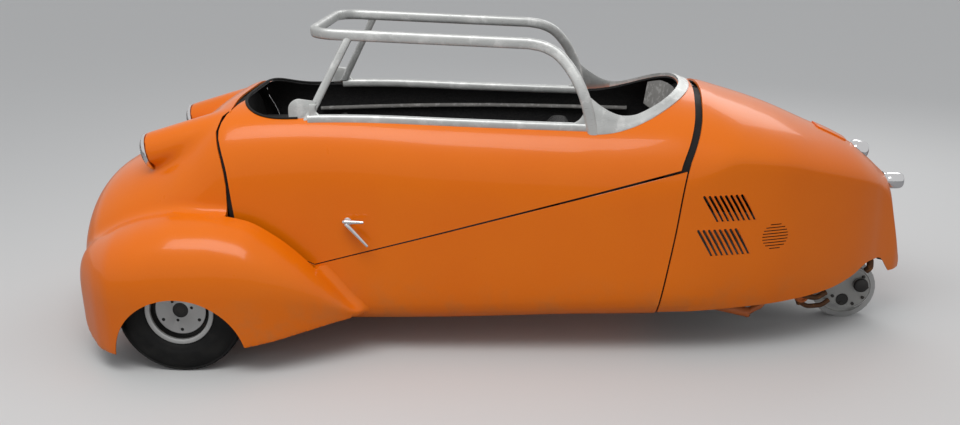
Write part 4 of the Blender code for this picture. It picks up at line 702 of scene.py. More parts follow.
# %% Ridge plate
sheet = grid(24, 20)
for vert in sheet.verts:
    u, v = vert.co.x * 2, vert.co.y * 2
    squeeze = (abs(u) ** 8 + abs(v) ** 8) ** (-1 / 8) * max(abs(u), abs(v)) if abs(u) + abs(v) > 0 else 1
    x, y = 2.198 + 0.053 * u * squeeze, 0.05 * v * squeeze
    vert.co = (x, y, body_top(x, y) - 0.002)
raised = bmesh.ops.extrude_face_region(sheet, geom=sheet.faces[:])["geom"]
bmesh.ops.translate(sheet, vec=(0, 0, 0.0075), verts=only(raised, bmesh.types.BMVert))
bmesh.ops.recalc_face_normals(sheet, faces=sheet.faces)
softened(sheet, radians(50), 0.0018, clamp=False)
finished(workpiece(sheet, PAINT), "ridge_plate", "tail", sharp=45)

# %% [markdown]
# The front of the car is nose, two lamp pods and two wings, laid up as one skin: they run into each
# other in soft hollow curves, with no seam. Sharp joins could be bevelled, but where dense curved
# forms meet a bevel tears. So the forms are joined, remeshed evenly, and the band along each join
# is smoothed until it sags into a fillet. The shell, the arches and the seam are cut afterwards.

# %% Pods and wings as grids
LAMP, POD_REAR = Vector((-0.14, 0.255, 0.68)), Vector((0.19, 0.25, 0.754))
POD_RADII = (0.064, 0.088)
WING_SHARES = (
    # along, half width, top, bottom
    (0.000, 0.6, 0.6, 0.3), (0.03, 0.7, 0.7, 0.22), (0.07, 0.79, 0.775, 0.17),
    (0.125, 0.89, 0.84, 0.14), (0.19, 0.96, 0.905, 0.14), (0.29, 0.995, 0.965, 0.15),
    (0.4, 1.000, 1.000, 0.16), (0.52, 0.998, 1.000, 0.18), (0.62, 0.985, 0.97, 0.205),
    (0.71, 0.95, 0.88, 0.23), (0.8, 0.89, 0.745, 0.26), (0.89, 0.81, 0.56, 0.285),
    (0.96, 0.745, 0.4, 0.3), (1.000, 0.71, 0.335, 0.31))
WING_COLUMNS = list(zip(*WING_SHARES))
WING_HALF_WIDTH, WING_TOP_Z, WING_X, WING_INNER_Y = 0.617, 0.52, (-0.395, 0.59), 0.33


def pod_form(side):
    """A tapered tube that runs back into the cowl, domed a little at its face."""
    front = Vector((LAMP.x, side * LAMP.y, LAMP.z))
    back = Vector((POD_REAR.x, side * POD_REAR.y, POD_REAR.z))
    way = (back - front).normalized()
    shape = bmesh.new()
    bmesh.ops.create_cone(shape, cap_ends=True, segments=64, depth=(back - front).length,
                          radius1=POD_RADII[0], radius2=POD_RADII[1])
    turn = Vector((0, 0, 1)).rotation_difference(way).to_matrix().to_4x4()
    bmesh.ops.transform(shape, matrix=Matrix.Translation((front + back) / 2) @ turn, verts=shape.verts)
    return shape


def wing_form(side, inset=0.0, drop=0.0, finish=0):
    """Rows run along the wing; round the section come the inner edge, the hem and the arc."""
    rows, arc = 90, 30
    shape = grid(rows, arc + 3)
    for vert in shape.verts:
        along, round_share = vert.co.x + 0.5, (vert.co.y + 0.5) * (arc + 3)
        half, top, low = [smooth_value(WING_COLUMNS[0], c, along) for c in WING_COLUMNS[1:]]
        x = WING_X[0] + inset + along * (WING_X[1] - WING_X[0] - 2 * inset)
        outer, top, low = half * WING_HALF_WIDTH - inset, top * WING_TOP_Z - inset, low * WING_TOP_Z - drop
        middle = top - (top - low) * 0.55
        if round_share < 0.5 or round_share > arc + 2.5:
            y, z = WING_INNER_Y, low
        elif round_share < 1.5:
            y, z = outer * 0.985, low
        else:
            turn = pi / 2 * (round_share - 2) / arc
            y = WING_INNER_Y + (outer - WING_INNER_Y) * max(cos(turn), 0) ** 0.76
            z = middle + (top - middle) * max(sin(turn), 0) ** 0.76
        vert.co = (x, side * y, z)
    return closed(shape, finish)


# %% Join, remesh and let the joins sag
NOSE_BACK = 0.64
VOXEL = 0.007
nose_block = prism([(-0.6, -0.1), (NOSE_BACK, -0.1), (NOSE_BACK, 1.1), (-0.6, 1.1)], -WIDE, WIDE)
body_front = cut(workpiece(body_form(0.0)), workpiece(nose_block), operation="INTERSECT")
forms = [body_front] + [workpiece(make(side)) for side in (-1, 1) for make in (pod_form, wing_form)]
trees = []
for item in forms:
    shape = opened(item)
    trees.append(BVHTree.FromBMesh(shape))
    shape.free()
front_skin = forms[0]
cut(front_skin, *forms[1:], operation="UNION")
remeshed(front_skin, VOXEL)
shape = opened(front_skin)
relaxed(shape, shape.verts, 0.5)
for reach, rounds in ((0.04, 10), (0.028, 12), (0.016, 8)):
    near = [v for v in shape.verts
            if sorted(tree.find_nearest(v.co)[3] for tree in trees)[1] < reach
            and v.co.x < NOSE_BACK - 0.03]
    for _ in range(rounds):
        relaxed(shape, near, 0.5)
for vert in shape.verts:
    along = (vert.co.x - WING_X[0]) / (WING_X[1] - WING_X[0])
    hem_level = smooth_value(WING_COLUMNS[0], WING_COLUMNS[3], along) * WING_TOP_Z
    if 0 < along < 1 and abs(vert.co.z - hem_level) < VOXEL * 0.75 and \
            min(trees[2].find_nearest(vert.co)[3], trees[4].find_nearest(vert.co)[3]) < VOXEL:
        vert.co.z = hem_level
print("front skin:", len(shape.verts), "points,", len(near), "of them in the joins")
stored(shape, front_skin.data)

# %% Cut the seam, the hollow, the arches and the axle holes
SEAT, WING_CANOPY_GAP = 0.0008, 0.03
AXLE_HOLE, AXLE_LEVELS = 0.0136, (0.160, 0.262)
behind = workpiece(prism([*seam(FRONT_SEAM, LOW - 0.1, HIGH), (0.75, HIGH), (0.75, LOW - 0.1)],
                         -WIDE, WIDE))
covered = cut(workpiece(body_form(-SEAT)), behind, operation="INTERSECT")
room = prism([(0.15, crease_z(0.15, -0.008)), (0.43, crease_z(0.43, -0.008)), (0.75, 0.378),
              (0.75, HIGH), (0.15, HIGH)], -WIDE, WIDE)
clear = cut(workpiece(body_form(-WING_CANOPY_GAP)), workpiece(room), operation="INTERSECT")
ARCH_X, ARCH_HALF, ARCH_BASE, ARCH_TOP, ARCH_INNER_Y = 0.008, 0.219, 0.06, 0.278, 0.436
arch = [(ARCH_X - ARCH_HALF, -0.2)]
arch += [(ARCH_X - ARCH_HALF * cos(a), ARCH_BASE + (ARCH_TOP - ARCH_BASE) * sin(a))
         for a in spread(0, pi, 48)]
arch.append((ARCH_X + ARCH_HALF, -0.2))
for side in (-1, 1):
    low, high = sorted((side * ARCH_INNER_Y, side * WIDE))
    cut(front_skin, workpiece(prism(arch, low, high)))
for side in (-1, 1):
    hollow = cut(workpiece(wing_form(side, SHELL, 0.05, finish=1)), workpiece(body_form(0.0, finish=1)))
    cut(front_skin, hollow)
cut(front_skin, covered, clear)
cut(front_skin, workpiece(body_form(SHELL, finish=1)))
for z in AXLE_LEVELS:
    cut(front_skin, workpiece(prism(ring_of(24, AXLE_HOLE, (0, z)), -WIDE, WIDE, finish=1)))
finished(front_skin, "front_fine", "body",
         ("nose_shell", "front_wing_left", "front_wing_right"))

# %% [markdown]
# Along the back of the front seam and the rear seam lies a flat rubber strip that keeps the rain
# out. It is bonded to the hoops of the tub, so it stays when the canopy or the tail swings. A
# strip is the same form as the body, drawn a little further in, and cut to a narrow ring.

# %% Seam strips
def seam_strip(name, table, low, high, ahead, behind):
    ring = [*seam(table, low, high, -ahead), *reversed(seam(table, low, high, behind))]
    strip = cut(workpiece(body_form(SHELL + 0.0012), RUBBER), workpiece(prism(ring, -WIDE, WIDE)),
                operation="INTERSECT")
    cut(strip, workpiece(body_form(SHELL + 0.006), RUBBER))
    ridge = mm(1600, -66,  1800, -66,  1800, 66,  1600, 66)
    cut(strip, workpiece(prism(ridge, 0.7, HIGH, "Z"), RUBBER))
    finished(strip, name, "body")


seam_strip("front_seam_strip", FRONT_SEAM, LOW, HIGH, 0.006, 0.0105)
seam_strip("rear_seam_strip", REAR_SEAM, LOW, HIGH, 0.036, 0.01)

# %% [markdown]
# The bare window frame is the car's signature. One flat-sided bar climbs from the right foot,
# leans forward, runs along, turns round the front in two easy corners and comes back down on the
# left. A curve with a bevel could draw it, but here one oval ring is pulled from station to
# station with extrude, which leaves a plain mesh with the same tidy section all the way.

# %% Pull a section along a path
def eased(points, step=0.012):
    """More points along a path, smooth in each coordinate by the distance walked."""
    walked = [0.0]
    for a, b in zip(points, points[1:]):
        walked.append(walked[-1] + (Vector(b) - Vector(a)).length)
    count = max(2, int(walked[-1] / step))
    columns = list(zip(*points))
    return [tuple(smooth_value(walked, column, walked[-1] * i / count) for column in columns)
            for i in range(count + 1)]


def pulled(path, facing, thick, deep, sides=24, power=3.2):
    """A bar: its thickness lies along the facing, its depth across it."""
    shape = bmesh.new()
    points = [Vector(p) for p in path]
    ring = bmesh.ops.create_circle(shape, segments=sides, radius=1.0)["verts"]
    for vert in ring:
        a = atan2(vert.co.y, vert.co.x)
        reach = reach_at(a, power)
        vert.co = (reach * cos(a) * thick / 2, reach * sin(a) * deep / 2, 0)
    last, edges = Matrix.Identity(4), shape.edges[:]
    for k, point in enumerate(points):
        way = (points[min(k + 1, len(points) - 1)] - points[max(k - 1, 0)]).normalized()
        out = Vector(facing[k] if isinstance(facing, list) else facing)
        out = (out - way * out.dot(way)).normalized()
        place = Matrix((out, way.cross(out), way)).transposed().to_4x4()
        place.translation = point
        if k:
            new = bmesh.ops.extrude_edge_only(shape, edges=edges)["geom"]
            edges, ring = only(new, bmesh.types.BMEdge), only(new, bmesh.types.BMVert)
        bmesh.ops.transform(shape, matrix=place @ last.inverted(), verts=ring)
        last = place
    return closed(shape, weld=0)


# %% Roof rail
HOOP_HALF, ROOF_HALF, ROOF_CORNER = 0.352, 0.29, 0.085
HOOP = ((1.322, 0.346, 0.867), (1.296, 0.336, 0.929), (1.267, 0.322, 0.975), (1.226, 0.306, 1.016),
        (1.182, 0.295, 1.036))
ROOF_FRONT_X, ROOF_BEND_X, ROOF_FRONT_Z, ROOF_REAR_Z = 0.428, 1.14, 1.08, 1.044
RAIL_THICK, RAIL_DEEP = 0.022, 0.036


def roof_z(x):
    return ROOF_FRONT_Z + (ROOF_REAR_Z - ROOF_FRONT_Z) * (x - ROOF_FRONT_X) / (ROOF_BEND_X - ROOF_FRONT_X)


HOOP_FOOT_X, HOOP_FOOT_Z = 1.35, body_top(1.35, HOOP_HALF)
foot = (HOOP_FOOT_X, HOOP_HALF, HOOP_FOOT_Z - RAIL_THICK)
half_way = eased([foot, *HOOP, (ROOF_BEND_X, ROOF_HALF, ROOF_REAR_Z)])
half_way += [(x, ROOF_HALF, roof_z(x)) for x in (1.0, 0.8, 0.6, 0.53)]
outwards = [(0, 1, 0)] * len(half_way)
for turn in spread(0, pi / 2, 12):
    x = ROOF_FRONT_X + ROOF_CORNER * (1 - sin(turn))
    half_way.append((x, ROOF_HALF - ROOF_CORNER * (1 - cos(turn)), roof_z(x)))
    outwards.append((-sin(turn), cos(turn), 0))
loop = [(x, -y, z) for x, y, z in half_way] + half_way[::-1]
faces_out = [(a, -b, c) for a, b, c in outwards] + outwards[::-1]
rail = workpiece(pulled(loop, faces_out, RAIL_THICK, RAIL_DEEP), ALLOY)
trimmed(rail, ALLOY)
finished(rail, "roof_rail_fine", "canopy", ("roof_rail",), 50)

# %% [markdown]
# The lower rails lie on the edge of the opening. Where they meet the front pillar and the hoop,
# the real frame has a hollow quarter round welded in, so light shows through a rounded corner. A
# flat plate with that outline does it, with its edges bevelled.

# %% Sill rails with their corner webs
SILL_HALF, SILL_THICK, SILL_DEEP = 0.3435, 0.024, 0.03
CORNER = 0.036


def sill_z(x):
    return body_top(x, OPENING_HALF) - SHELL


def plate(outline, low, high, edge=0.0025):
    """A sheet with rounded edges."""
    shape = prism(outline, low, high)
    softened(shape, radians(30), edge)
    return workpiece(shape, ALLOY)


PILLAR_FOOT_X, PILLAR_FOOT_Y, PILLAR_TOP_X = 0.408, 0.341, 0.56
PILLAR_FOOT_Z = body_top(PILLAR_FOOT_X, PILLAR_FOOT_Y) - RAIL_THICK


def pillar_line(z):
    """The front pillar's place at a height."""
    share = (z - PILLAR_FOOT_Z) / (roof_z(PILLAR_TOP_X) - PILLAR_FOOT_Z)
    return (PILLAR_FOOT_X + (PILLAR_TOP_X - PILLAR_FOOT_X) * share,
            PILLAR_FOOT_Y + (ROOF_HALF - PILLAR_FOOT_Y) * share)


for word, side in SIDES:
    bar = [(x, side * SILL_HALF, sill_z(x)) for x in spread(0.42, 1.352, 24)]
    sill = workpiece(pulled(bar, (0, side, 0), SILL_THICK, SILL_DEEP), ALLOY)
    low, high = sorted((side * (SILL_HALF - 0.008), side * (SILL_HALF + 0.008)))
    z = sill_z(0.443) + SILL_DEEP / 2 - 0.002
    front = [(0.425, z - 0.004), (0.443 + CORNER, z - 0.004)]
    front += [(pillar_line(z + CORNER * (1 - cos(a)))[0] + 0.006 + CORNER * (1 - sin(a)),
               z + CORNER * (1 - cos(a))) for a in spread(0, pi / 2, 8)]
    front.append((0.425, z + CORNER))
    z = sill_z(1.32) + SILL_DEEP / 2 - 0.002
    round_off = CORNER * 1.3
    back = [(1.335, z - 0.004), (1.318 - round_off, z - 0.004)]
    back += [(1.318 - round_off * (1 - sin(a)), z + round_off * (1 - cos(a)))
             for a in spread(0, pi / 2, 8)]
    back.append((1.335, z + round_off))
    cut(sill, plate(front, low, high), plate(back, low, high), operation="UNION")
    finished(sill, "sill_rail_fine_" + word, "canopy", ("sill_rail_" + word,), 40)

# %% [markdown]
# Each front pillar leans back as it rises. At its foot, a thin web with a hollow front edge ties it
# to the cowl.

# %% Front pillars
low_z = PILLAR_FOOT_Z
for word, side in SIDES:
    line = [(pillar_line(z)[0], side * pillar_line(z)[1], z)
            for z in spread(low_z, roof_z(PILLAR_TOP_X), 10)]
    pillar = workpiece(pulled(line, (0, side, 0), 0.018, 0.026), ALLOY)
    web = [(0.424, low_z), (0.356, low_z), (0.355, low_z + 0.046)]
    web += [(0.393 - 0.038 * cos(a), low_z + 0.05 + 0.036 * sin(a))
            for a in spread(0, pi / 2, 10)[1:]]
    web += [(pillar_line(low_z + 0.078)[0], low_z + 0.078),
            (pillar_line(low_z + 0.03)[0] + 0.002, low_z + 0.03)]
    near, far = sorted((side * 0.334, side * 0.34))
    cut(pillar, plate(web, near, far, 0.0015), operation="UNION")
    trimmed(pillar, ALLOY)
    finished(pillar, "front_pillar_fine_" + word, "canopy", ("front_pillar_" + word,), 40)

# %% [markdown]
# Behind the hoop, a sheet fillet sweeps down to a band that runs round the rear of the opening. Its
# upper edge falls in a long hollow curve. A flat grid wrapped by formula gives it: one way goes
# round the opening, the other crosses the band from its inner lip over the crest to the skin.

# %% Rear band
BAND_RISE = ((0, 0.125), (0.032, 0.078), (0.07, 0.047), (0.112, 0.026), (0.161, 0.015), (0.3, 0.012))
BAND_SECTION = ((0.0, -0.5), (0.0, 1.0), (0.3, 0.95), (0.5, 0.6), (0.72, 0.25), (1.0, 0.0), (1.0, -0.5),
                (0.0, -0.5))


def band_form():
    distances, rises = zip(*BAND_RISE)
    xs, ys, levels = zip((HOOP_FOOT_X, HOOP_HALF, HOOP_FOOT_Z), *HOOP)
    rows = len(BAND_SECTION)
    shape = grid(96, rows - 1)
    for vert in shape.verts:
        turn = pi * vert.co.x
        out, up = BAND_SECTION[round((vert.co.y + 0.5) * (rows - 1))]
        reach = reach_at(turn, REAR_POWER)
        ends = [(OPENING_REAR_X + far * reach * cos(turn), half * reach * sin(turn))
                for far, half in ((0.32, 0.343), (0.355, 0.361))]
        (x_in, y_in), (x_out, y_out) = ends
        z_in, z_out = body_top(x_in, y_in), body_top(x_out, y_out)
        rise = smooth_value(distances, rises, x_in - OPENING_REAR_X)
        height = 0.004 + (rise - 0.004) * up if up >= 0 else -0.014
        x, y = x_in + (x_out - x_in) * out, y_in + (y_out - y_in) * out
        z = z_in + (z_out - z_in) * out + height
        hoop_x, hoop_y = smooth_value(levels, xs, z), smooth_value(levels, ys, z)
        pull = max(0.0, 1 - (x_in - OPENING_REAR_X) / 0.075) ** 2 * (height > 0)
        y -= pull * copysign(HOOP_HALF - hoop_y, y) * (abs(y) > 0.1)
        vert.co = (x + pull * (hoop_x - 1.345), y, z)
    return closed(shape)


band = workpiece(band_form(), ALLOY)
trimmed(band, ALLOY)
finished(band, "rear_band_fine", "canopy", ("rear_band",), 50)

# %% [markdown]
# A headlamp is a stack of turned parts: a chrome bezel with a rolled lip, a silvered bowl, and a
# domed glass. Half a profile spun once round its axis makes each. The profile is typed along one
# axis and the finished turning is aimed afterwards.

# %% Turn a profile on a lathe
def spun(profile, centre, way, steps=64, loop=False):
    """Turn (radius, distance) points round the axis that leaves the centre along the way."""
    shape = bmesh.new()
    verts = [shape.verts.new((r, 0, d)) for r, d in profile]
    edges = [shape.edges.new(pair) for pair in zip(verts, verts[1:])]
    if loop:
        edges.append(shape.edges.new((verts[-1], verts[0])))
    bmesh.ops.spin(shape, geom=verts + edges, cent=(0, 0, 0), axis=(0, 0, 1), angle=tau, steps=steps,
                   use_merge=True, use_duplicate=False)
    closed(shape, 0, 1e-6, False)
    turn = Vector((0, 0, 1)).rotation_difference(Vector(way).normalized()).to_matrix().to_4x4()
    bmesh.ops.transform(shape, matrix=Matrix.Translation(Vector(centre)) @ turn, verts=shape.verts)
    return shape


def lathe(name, profile, centre, way, body, finish, replaces=(), steps=64, loop=False, sharp=32,
          gap=None):
    """A finished turning, trimmed a gap's width off the body's skin where one is given."""
    item = workpiece(spun(profile, centre, way, steps, loop), finish)
    if gap:
        trimmed(item, finish, gap)
    finished(item, name, body, replaces, sharp)


# %% Headlamps
DOMES = ((0.0565, 0.0125, 0.019), (0.054, 0.0122, 0.0172))
for word, side in SIDES:
    front = Vector((LAMP.x, side * LAMP.y, LAMP.z))
    way = (front - Vector((POD_REAR.x, side * POD_REAR.y, POD_REAR.z))).normalized()
    bezel = mm(46, 0.5,  63.5, 0.5,  65.2, 3,  64.8, 8,  62, 12.5,  59, 14,  57, 12.5,  56.2, 9,  55.8, 3)
    lathe("lamp_bezel_" + word, bezel, front, way, "body", CHROME, ("headlamp_" + word,),
          loop=True)
    bowl = mm(0, 1.5,  10, 1.6,  22, 2.8,  35, 5,  48, 8.5,  55.6, 10.5,  55.6, 3,  30, 0.6,  0, 0.6)
    lathe("lamp_bowl_" + word, bowl, front, way, "body", BOWL)
    lathe("lamp_bulb_" + word, mm(0, 2,  7, 2,  8, 10,  6, 15,  0, 17),
          front, way, "body", BOWL, steps=24)
    skins = [[(radius * cos(a), start + bulge * sin(a)) for a in spread(0, pi / 2, 12)[:-1]]
             + [(0.0, start + bulge)] for radius, start, bulge in DOMES]
    lathe("lamp_glass_" + word, skins[0] + skins[1][::-1], front, way, "body", GLASS)

# %% [markdown]
# The wheels are pressed steel rims on balloon tyres. A tyre's profile is a closed loop from bead to
# bead. Its tread is cut after turning: four grooves come with the profile, and small blocks are
# made by pushing in every other strip of faces between the grooves.

# %% Tyres
TRACK_HALF, TYRE_RADIUS, TYRE_HALF = 0.512, 0.21, 0.043
SIDE = ((0.2, 0.86), (0.46, 1.00), (0.74, 0.94), (0.93, 0.72))


def tyre_form(side):
    inner, wall = 0.1013, TYRE_RADIUS - 0.1013
    xs, ys = zip((0.12, 0.0287 / TYRE_HALF), *SIDE)
    flank = [(inner, 0.0287)]
    flank += [(inner + wall * up, TYRE_HALF * smooth_value(xs, ys, up))
              for up in (0.06, 0.12, 0.16, 0.2, 0.27, 0.34, 0.46, 0.56, 0.66, 0.74, 0.8, 0.86, 0.9)]
    flank.insert(7, (flank[6][0] + 0.002, flank[6][1] + 0.0012))
    crown = [(0.2035, 0.0345), (0.2065, 0.031)]
    for out in (0.026, 0.013):
        crown += [(0.2082, out + 0.0022), (0.2045, out + 0.0016),
                  (0.2045, out - 0.0016), (0.209, out - 0.0022)]
    crown.append((TYRE_RADIUS, 0.0))
    half = flank + crown
    profile = half + [(r, -out) for r, out in reversed(half[:-1])]
    shape = spun(profile, (0, 0, 0), (0, 0, 1), 96, loop=True)
    blocks = []
    for face in shape.faces:
        middle = face.calc_center_median()
        slot = int(atan2(middle.y, middle.x) / tau * 96 + 96.5) % 3
        if hypot(middle.x, middle.y) > 0.204 and slot == 0 and abs(face.normal.z) < 0.75:
            blocks.append(face)
    bmesh.ops.inset_individual(shape, faces=blocks, thickness=0.0012, depth=-0.0022)
    turn = Matrix.Rotation(radians(-90 * side), 4, "X")
    bmesh.ops.transform(shape, matrix=Matrix.Translation((0, side * TRACK_HALF, TYRE_RADIUS)) @ turn,
                        verts=shape.verts)
    return shape


for word, side in SIDES:
    tyre = workpiece(tyre_form(side), RUBBER)
    finished(tyre, "tyre_fine_" + word, word + "_wheel", ("front_tyre_" + word,), 40)

# %% [markdown]
# The rim is one turning in two finishes: bright flanges and a grey painted disc. The disc is
# pressed: a recess runs inside the flange, coloured dark as painted shade, five studs and four air
# holes sit round the hub, their walls dark as painted shade, and the hub itself is an open tube, its
# bore dark as painted shade, because its cap is gone.

# %% Rims
def rim_form():
    """Back face of the disc, channel, barrel with two flanges, then the front faces inwards."""
    seat, flange, half, wall = 0.101, 0.1145, 0.033, 0.004
    return [(0.026, 0.01), (0.08, 0.01), (0.084, -0.002), (0.0965, -0.002),
            (0.0965, -half + 0.002), (0.1, -half), (flange - 0.002, -half), (flange, -half + wall / 2),
            (flange - 0.003, -half + wall), (seat + 0.002, -half + wall + 0.001), (seat, -half + 0.008),
            (seat, half - 0.008), (seat + 0.002, half - wall - 0.001), (flange - 0.003, half - wall),
            (flange, half - wall / 2), (flange - 0.002, half),
            (0.104, half + 0.0005), (0.0985, half - 0.002),
            (0.097, 0.024), (0.097, 0.002), (0.0865, 0.002), (0.085, 0.0125), (0.083, 0.0145),
            (0.03, 0.0145), (0.0275, 0.0165), (0.026, 0.0165)]


for word, side in SIDES:
    hub = Vector((0, side * TRACK_HALF, TYRE_RADIUS))
    rim = workpiece(spun(rim_form(), hub, (0, side, 0), 96, loop=True), SILVER, DRUM_AND_SHADE)
    # Faces in the recess inside the flange and in the hub's bore take the dark drum paint: painted shade.
    for face in rim.data.polygons:
        out = (face.center.y - hub.y) * side
        away = hypot(face.center.x, face.center.z - hub.z)
        if 0.0845 < away < 0.0975 and -0.001 < out < 0.022 or away < 0.0265:
            face.material_index = 1
    low, high = sorted((side * (TRACK_HALF + 0.002), side * (TRACK_HALF + 0.03)))
    # The walls of the holes take the dark drum paint too: painted shade.
    for count, away, start, radius in ((3, 0.038, 0.2, 0.0052), (6, 0.069, 0.52, 0.0058)):
        for place in ring_of(count, away, (0, TYRE_RADIUS), start):
            cut(rim, workpiece(prism(ring_of(20, radius, place), low, high, finish=1), SILVER, DRUM_AND_SHADE))
    finished(rim, "rim_fine_" + word, word + "_wheel", ("front_rim_" + word,), 40)

# %% [markdown]
# The canopy handle is a small chromed lever: a round foot against the skin, a neck, a tapered arm
# that slants back and down, and a shorter bar at the top. Each is a turning with a rounded tip.

# %% Canopy handle
HANDLE_X, HANDLE_Z = 0.548, 0.483
HANDLE_Y = -body_side(HANDLE_X, HANDLE_Z)


def tapered(start, end, first, last):
    """A round tapered finger from a start to an end, with a domed tip."""
    start, end = Vector(start), Vector(end)
    span = (end - start).length
    profile = [(0.0, -first * 0.6), (first * 0.6, -first * 0.45), (first, 0.0)]
    profile += [(first + (last - first) * i / 6, span * i / 6) for i in range(1, 7)]
    profile += [(last * 0.8, span + last * 0.5), (0.0, span + last * 0.8)]
    return workpiece(spun(profile, start, end - start, 24), CHROME)


neck = HANDLE_Y - 0.03
handle = workpiece(spun(mm(0, -4,  15, -4,  15.5, 1,  13.5, 5,  9, 8,  7.2, 14,  7.8, 30,  6, 35,  0, 36),
                        (HANDLE_X, HANDLE_Y, HANDLE_Z), (0, -1, 0), 32), CHROME)
arm = tapered((HANDLE_X, neck, HANDLE_Z), (HANDLE_X + 0.066, neck - 0.006, HANDLE_Z - 0.072), 0.0088, 0.005)
bar = tapered((HANDLE_X - 0.009, neck, HANDLE_Z + 0.008),
              (HANDLE_X + 0.056, neck - 0.007, HANDLE_Z + 0.009), 0.0084, 0.0048)
cut(handle, arm, bar, operation="UNION")
finished(handle, "handle_fine", "canopy", ("canopy_handle",), 45)

# %% [markdown]
# At the tail, a chromed lamp stands on the ridge with its red lens facing back, and a chromed end
# piece points straight behind it. Both are turnings. The end piece has two fine grooves and a
# rubber ring where it leaves the skin.

# %% Tail lamp and end piece
TAIL_LAMP_X, TILT, END_PIECE_Z = 2.305, radians(22), 0.512
way = Vector((cos(TILT), 0, -sin(TILT)))
start = Vector((TAIL_LAMP_X, 0, body_top(TAIL_LAMP_X, 0) - 0.006)) - way * 0.035
housing = mm(0, 0,  20, 0.8,  28.5, 5,  33.5, 13,  35.8, 26,  36, 50,  34.8, 57,  32.2, 59.5,  30.5, 57,
             30, 50,  0, 50)
lathe("tail_lamp_fine", housing, start, way, "tail", CHROME, ("tail_lamp",), 48, sharp=40,
      gap=SKIN_GAP)
lens = mm(0, 50.3,  29.6, 50.3,  30, 56,  27.5, 62,  20, 66.8,  10, 69.2,  0, 69.8)
lathe("tail_lens", lens, start, way, "tail", LENS, (), 48, sharp=40, gap=SKIN_GAP)
end_piece = mm(0, 0,  29, 0,  29, 40,  27.8, 42,  27.8, 44,  29, 46,  29, 80,  28.4, 88,  26.5, 94.5,
               22.5, 99,  15, 101.4,  0, 102)
lathe("end_piece_fine", end_piece, (2.372, 0, END_PIECE_Z), (1, 0, 0), "tail", CHROME,
      ("tail_end_piece",), 48, sharp=40, gap=SKIN_GAP)
ring = mm(29.2, 0,  32.5, 0,  32.5, 14,  31, 16,  29.2, 16)
lathe("end_piece_ring", ring, (2.386, 0, END_PIECE_Z), (1, 0, 0), "tail", RUBBER,
      (), 48, True, gap=SKIN_GAP / 2)

# %% [markdown]
# Each louvre has a pressed lip along its rear edge. Thirty-two small bars, laid on the skin and
# gathered in one mesh, make them.

# %% Louvre lips
def gathered(shapes, finish):
    whole = bmesh.new()
    for shape in shapes:
        mesh = bpy.data.meshes.new("part")
        stored(shape, mesh)
        whole.from_mesh(mesh)
        bpy.data.meshes.remove(mesh)
    return workpiece(whole, finish)


lips = []
for side in (-1, 1):
    for x, z, height in LOUVRE_ROWS:
        for i in range(LOUVRE_COUNT):
            line = []
            for k in range(7):
                share = 0.03 + 0.94 * k / 6
                px = x + i * LOUVRE_PITCH + LOUVRE_LEAN * share + LOUVRE_SLOT + 0.0016
                pz = z - height * share
                line.append((px, side * (body_side(px, pz) + 0.0006), pz))
            lips.append(pulled(line, (0, side, 0), 0.0048, 0.0034, sides=8, power=2))
finished(gathered(lips, PAINT), "louvre_lips", "tail", sharp=60)


# %% [markdown]
# Upholstery comes from a little simulation. A slightly small block is remeshed evenly, and cloth
# pressure swells it while its movement is capped, so the sides crown and the edges pull in. The
# sewn channels are pressed in afterwards.

# %% Swell a pad
def swollen(item, cap):
    """Bevel and remesh a block, then let pressure move it by no more than the cap."""
    shape = opened(item)
    softened(shape, 0.5, 0.022, 4)
    stored(shape, item.data)
    remeshed(item, 0.006)
    before = [v.co.copy() for v in item.data.vertices]
    cloth = item.modifiers.new("swell", "CLOTH")
    cloth.settings.use_pressure = True
    cloth.settings.uniform_pressure_force = 4
    cloth.settings.effector_weights.gravity = 0
    cloth.point_cache.frame_start, cloth.point_cache.frame_end = 1, 20
    scene = bpy.context.scene
    for step in range(1, 21):
        scene.frame_set(step)
        bpy.context.view_layer.update()
    settle(item)
    scene.frame_set(1)
    for vert, old in zip(item.data.vertices, before):
        move = vert.co - old
        if move.length > cap:
            vert.co = old + move.normalized() * cap
    return item


def pad(name, low, high, lean, channels, cap, node):
    """A cushion between two corners, sheared backwards by a lean, with channels sewn across."""
    inset = cap * 0.9
    box = bmesh.new()
    bmesh.ops.create_cube(box, size=1.0)
    size = [b - a - 2 * inset for a, b in zip(low, high)]
    middle = [(a + b) / 2 for a, b in zip(low, high)]
    bmesh.ops.scale(box, vec=size, verts=box.verts)
    bmesh.ops.translate(box, vec=middle, verts=box.verts)
    item = swollen(workpiece(box, VINYL), cap)
    shape = opened(item)
    span = high[2] - low[2]
    upright = span > high[0] - low[0]
    pitch = (high[1] - low[1]) / channels
    for vert in shape.verts:
        x, y, z = vert.co
        away = (y - low[1]) % pitch
        press = 0.005 * 2.718 ** (-(min(away, pitch - away) / 0.006) ** 2)
        if upright and x < middle[0] and 0.03 < y - low[1] < high[1] - low[1] - 0.03:
            vert.co.x += press
        if not upright and z > middle[2] and 0.03 < y - low[1] < high[1] - low[1] - 0.03:
            vert.co.z -= press
        vert.co.x += lean * (z - low[2]) / span
    relaxed(shape, shape.verts, 0.4)
    stored(shape, item.data)
    finished(item, name, "body", (node,), 180)


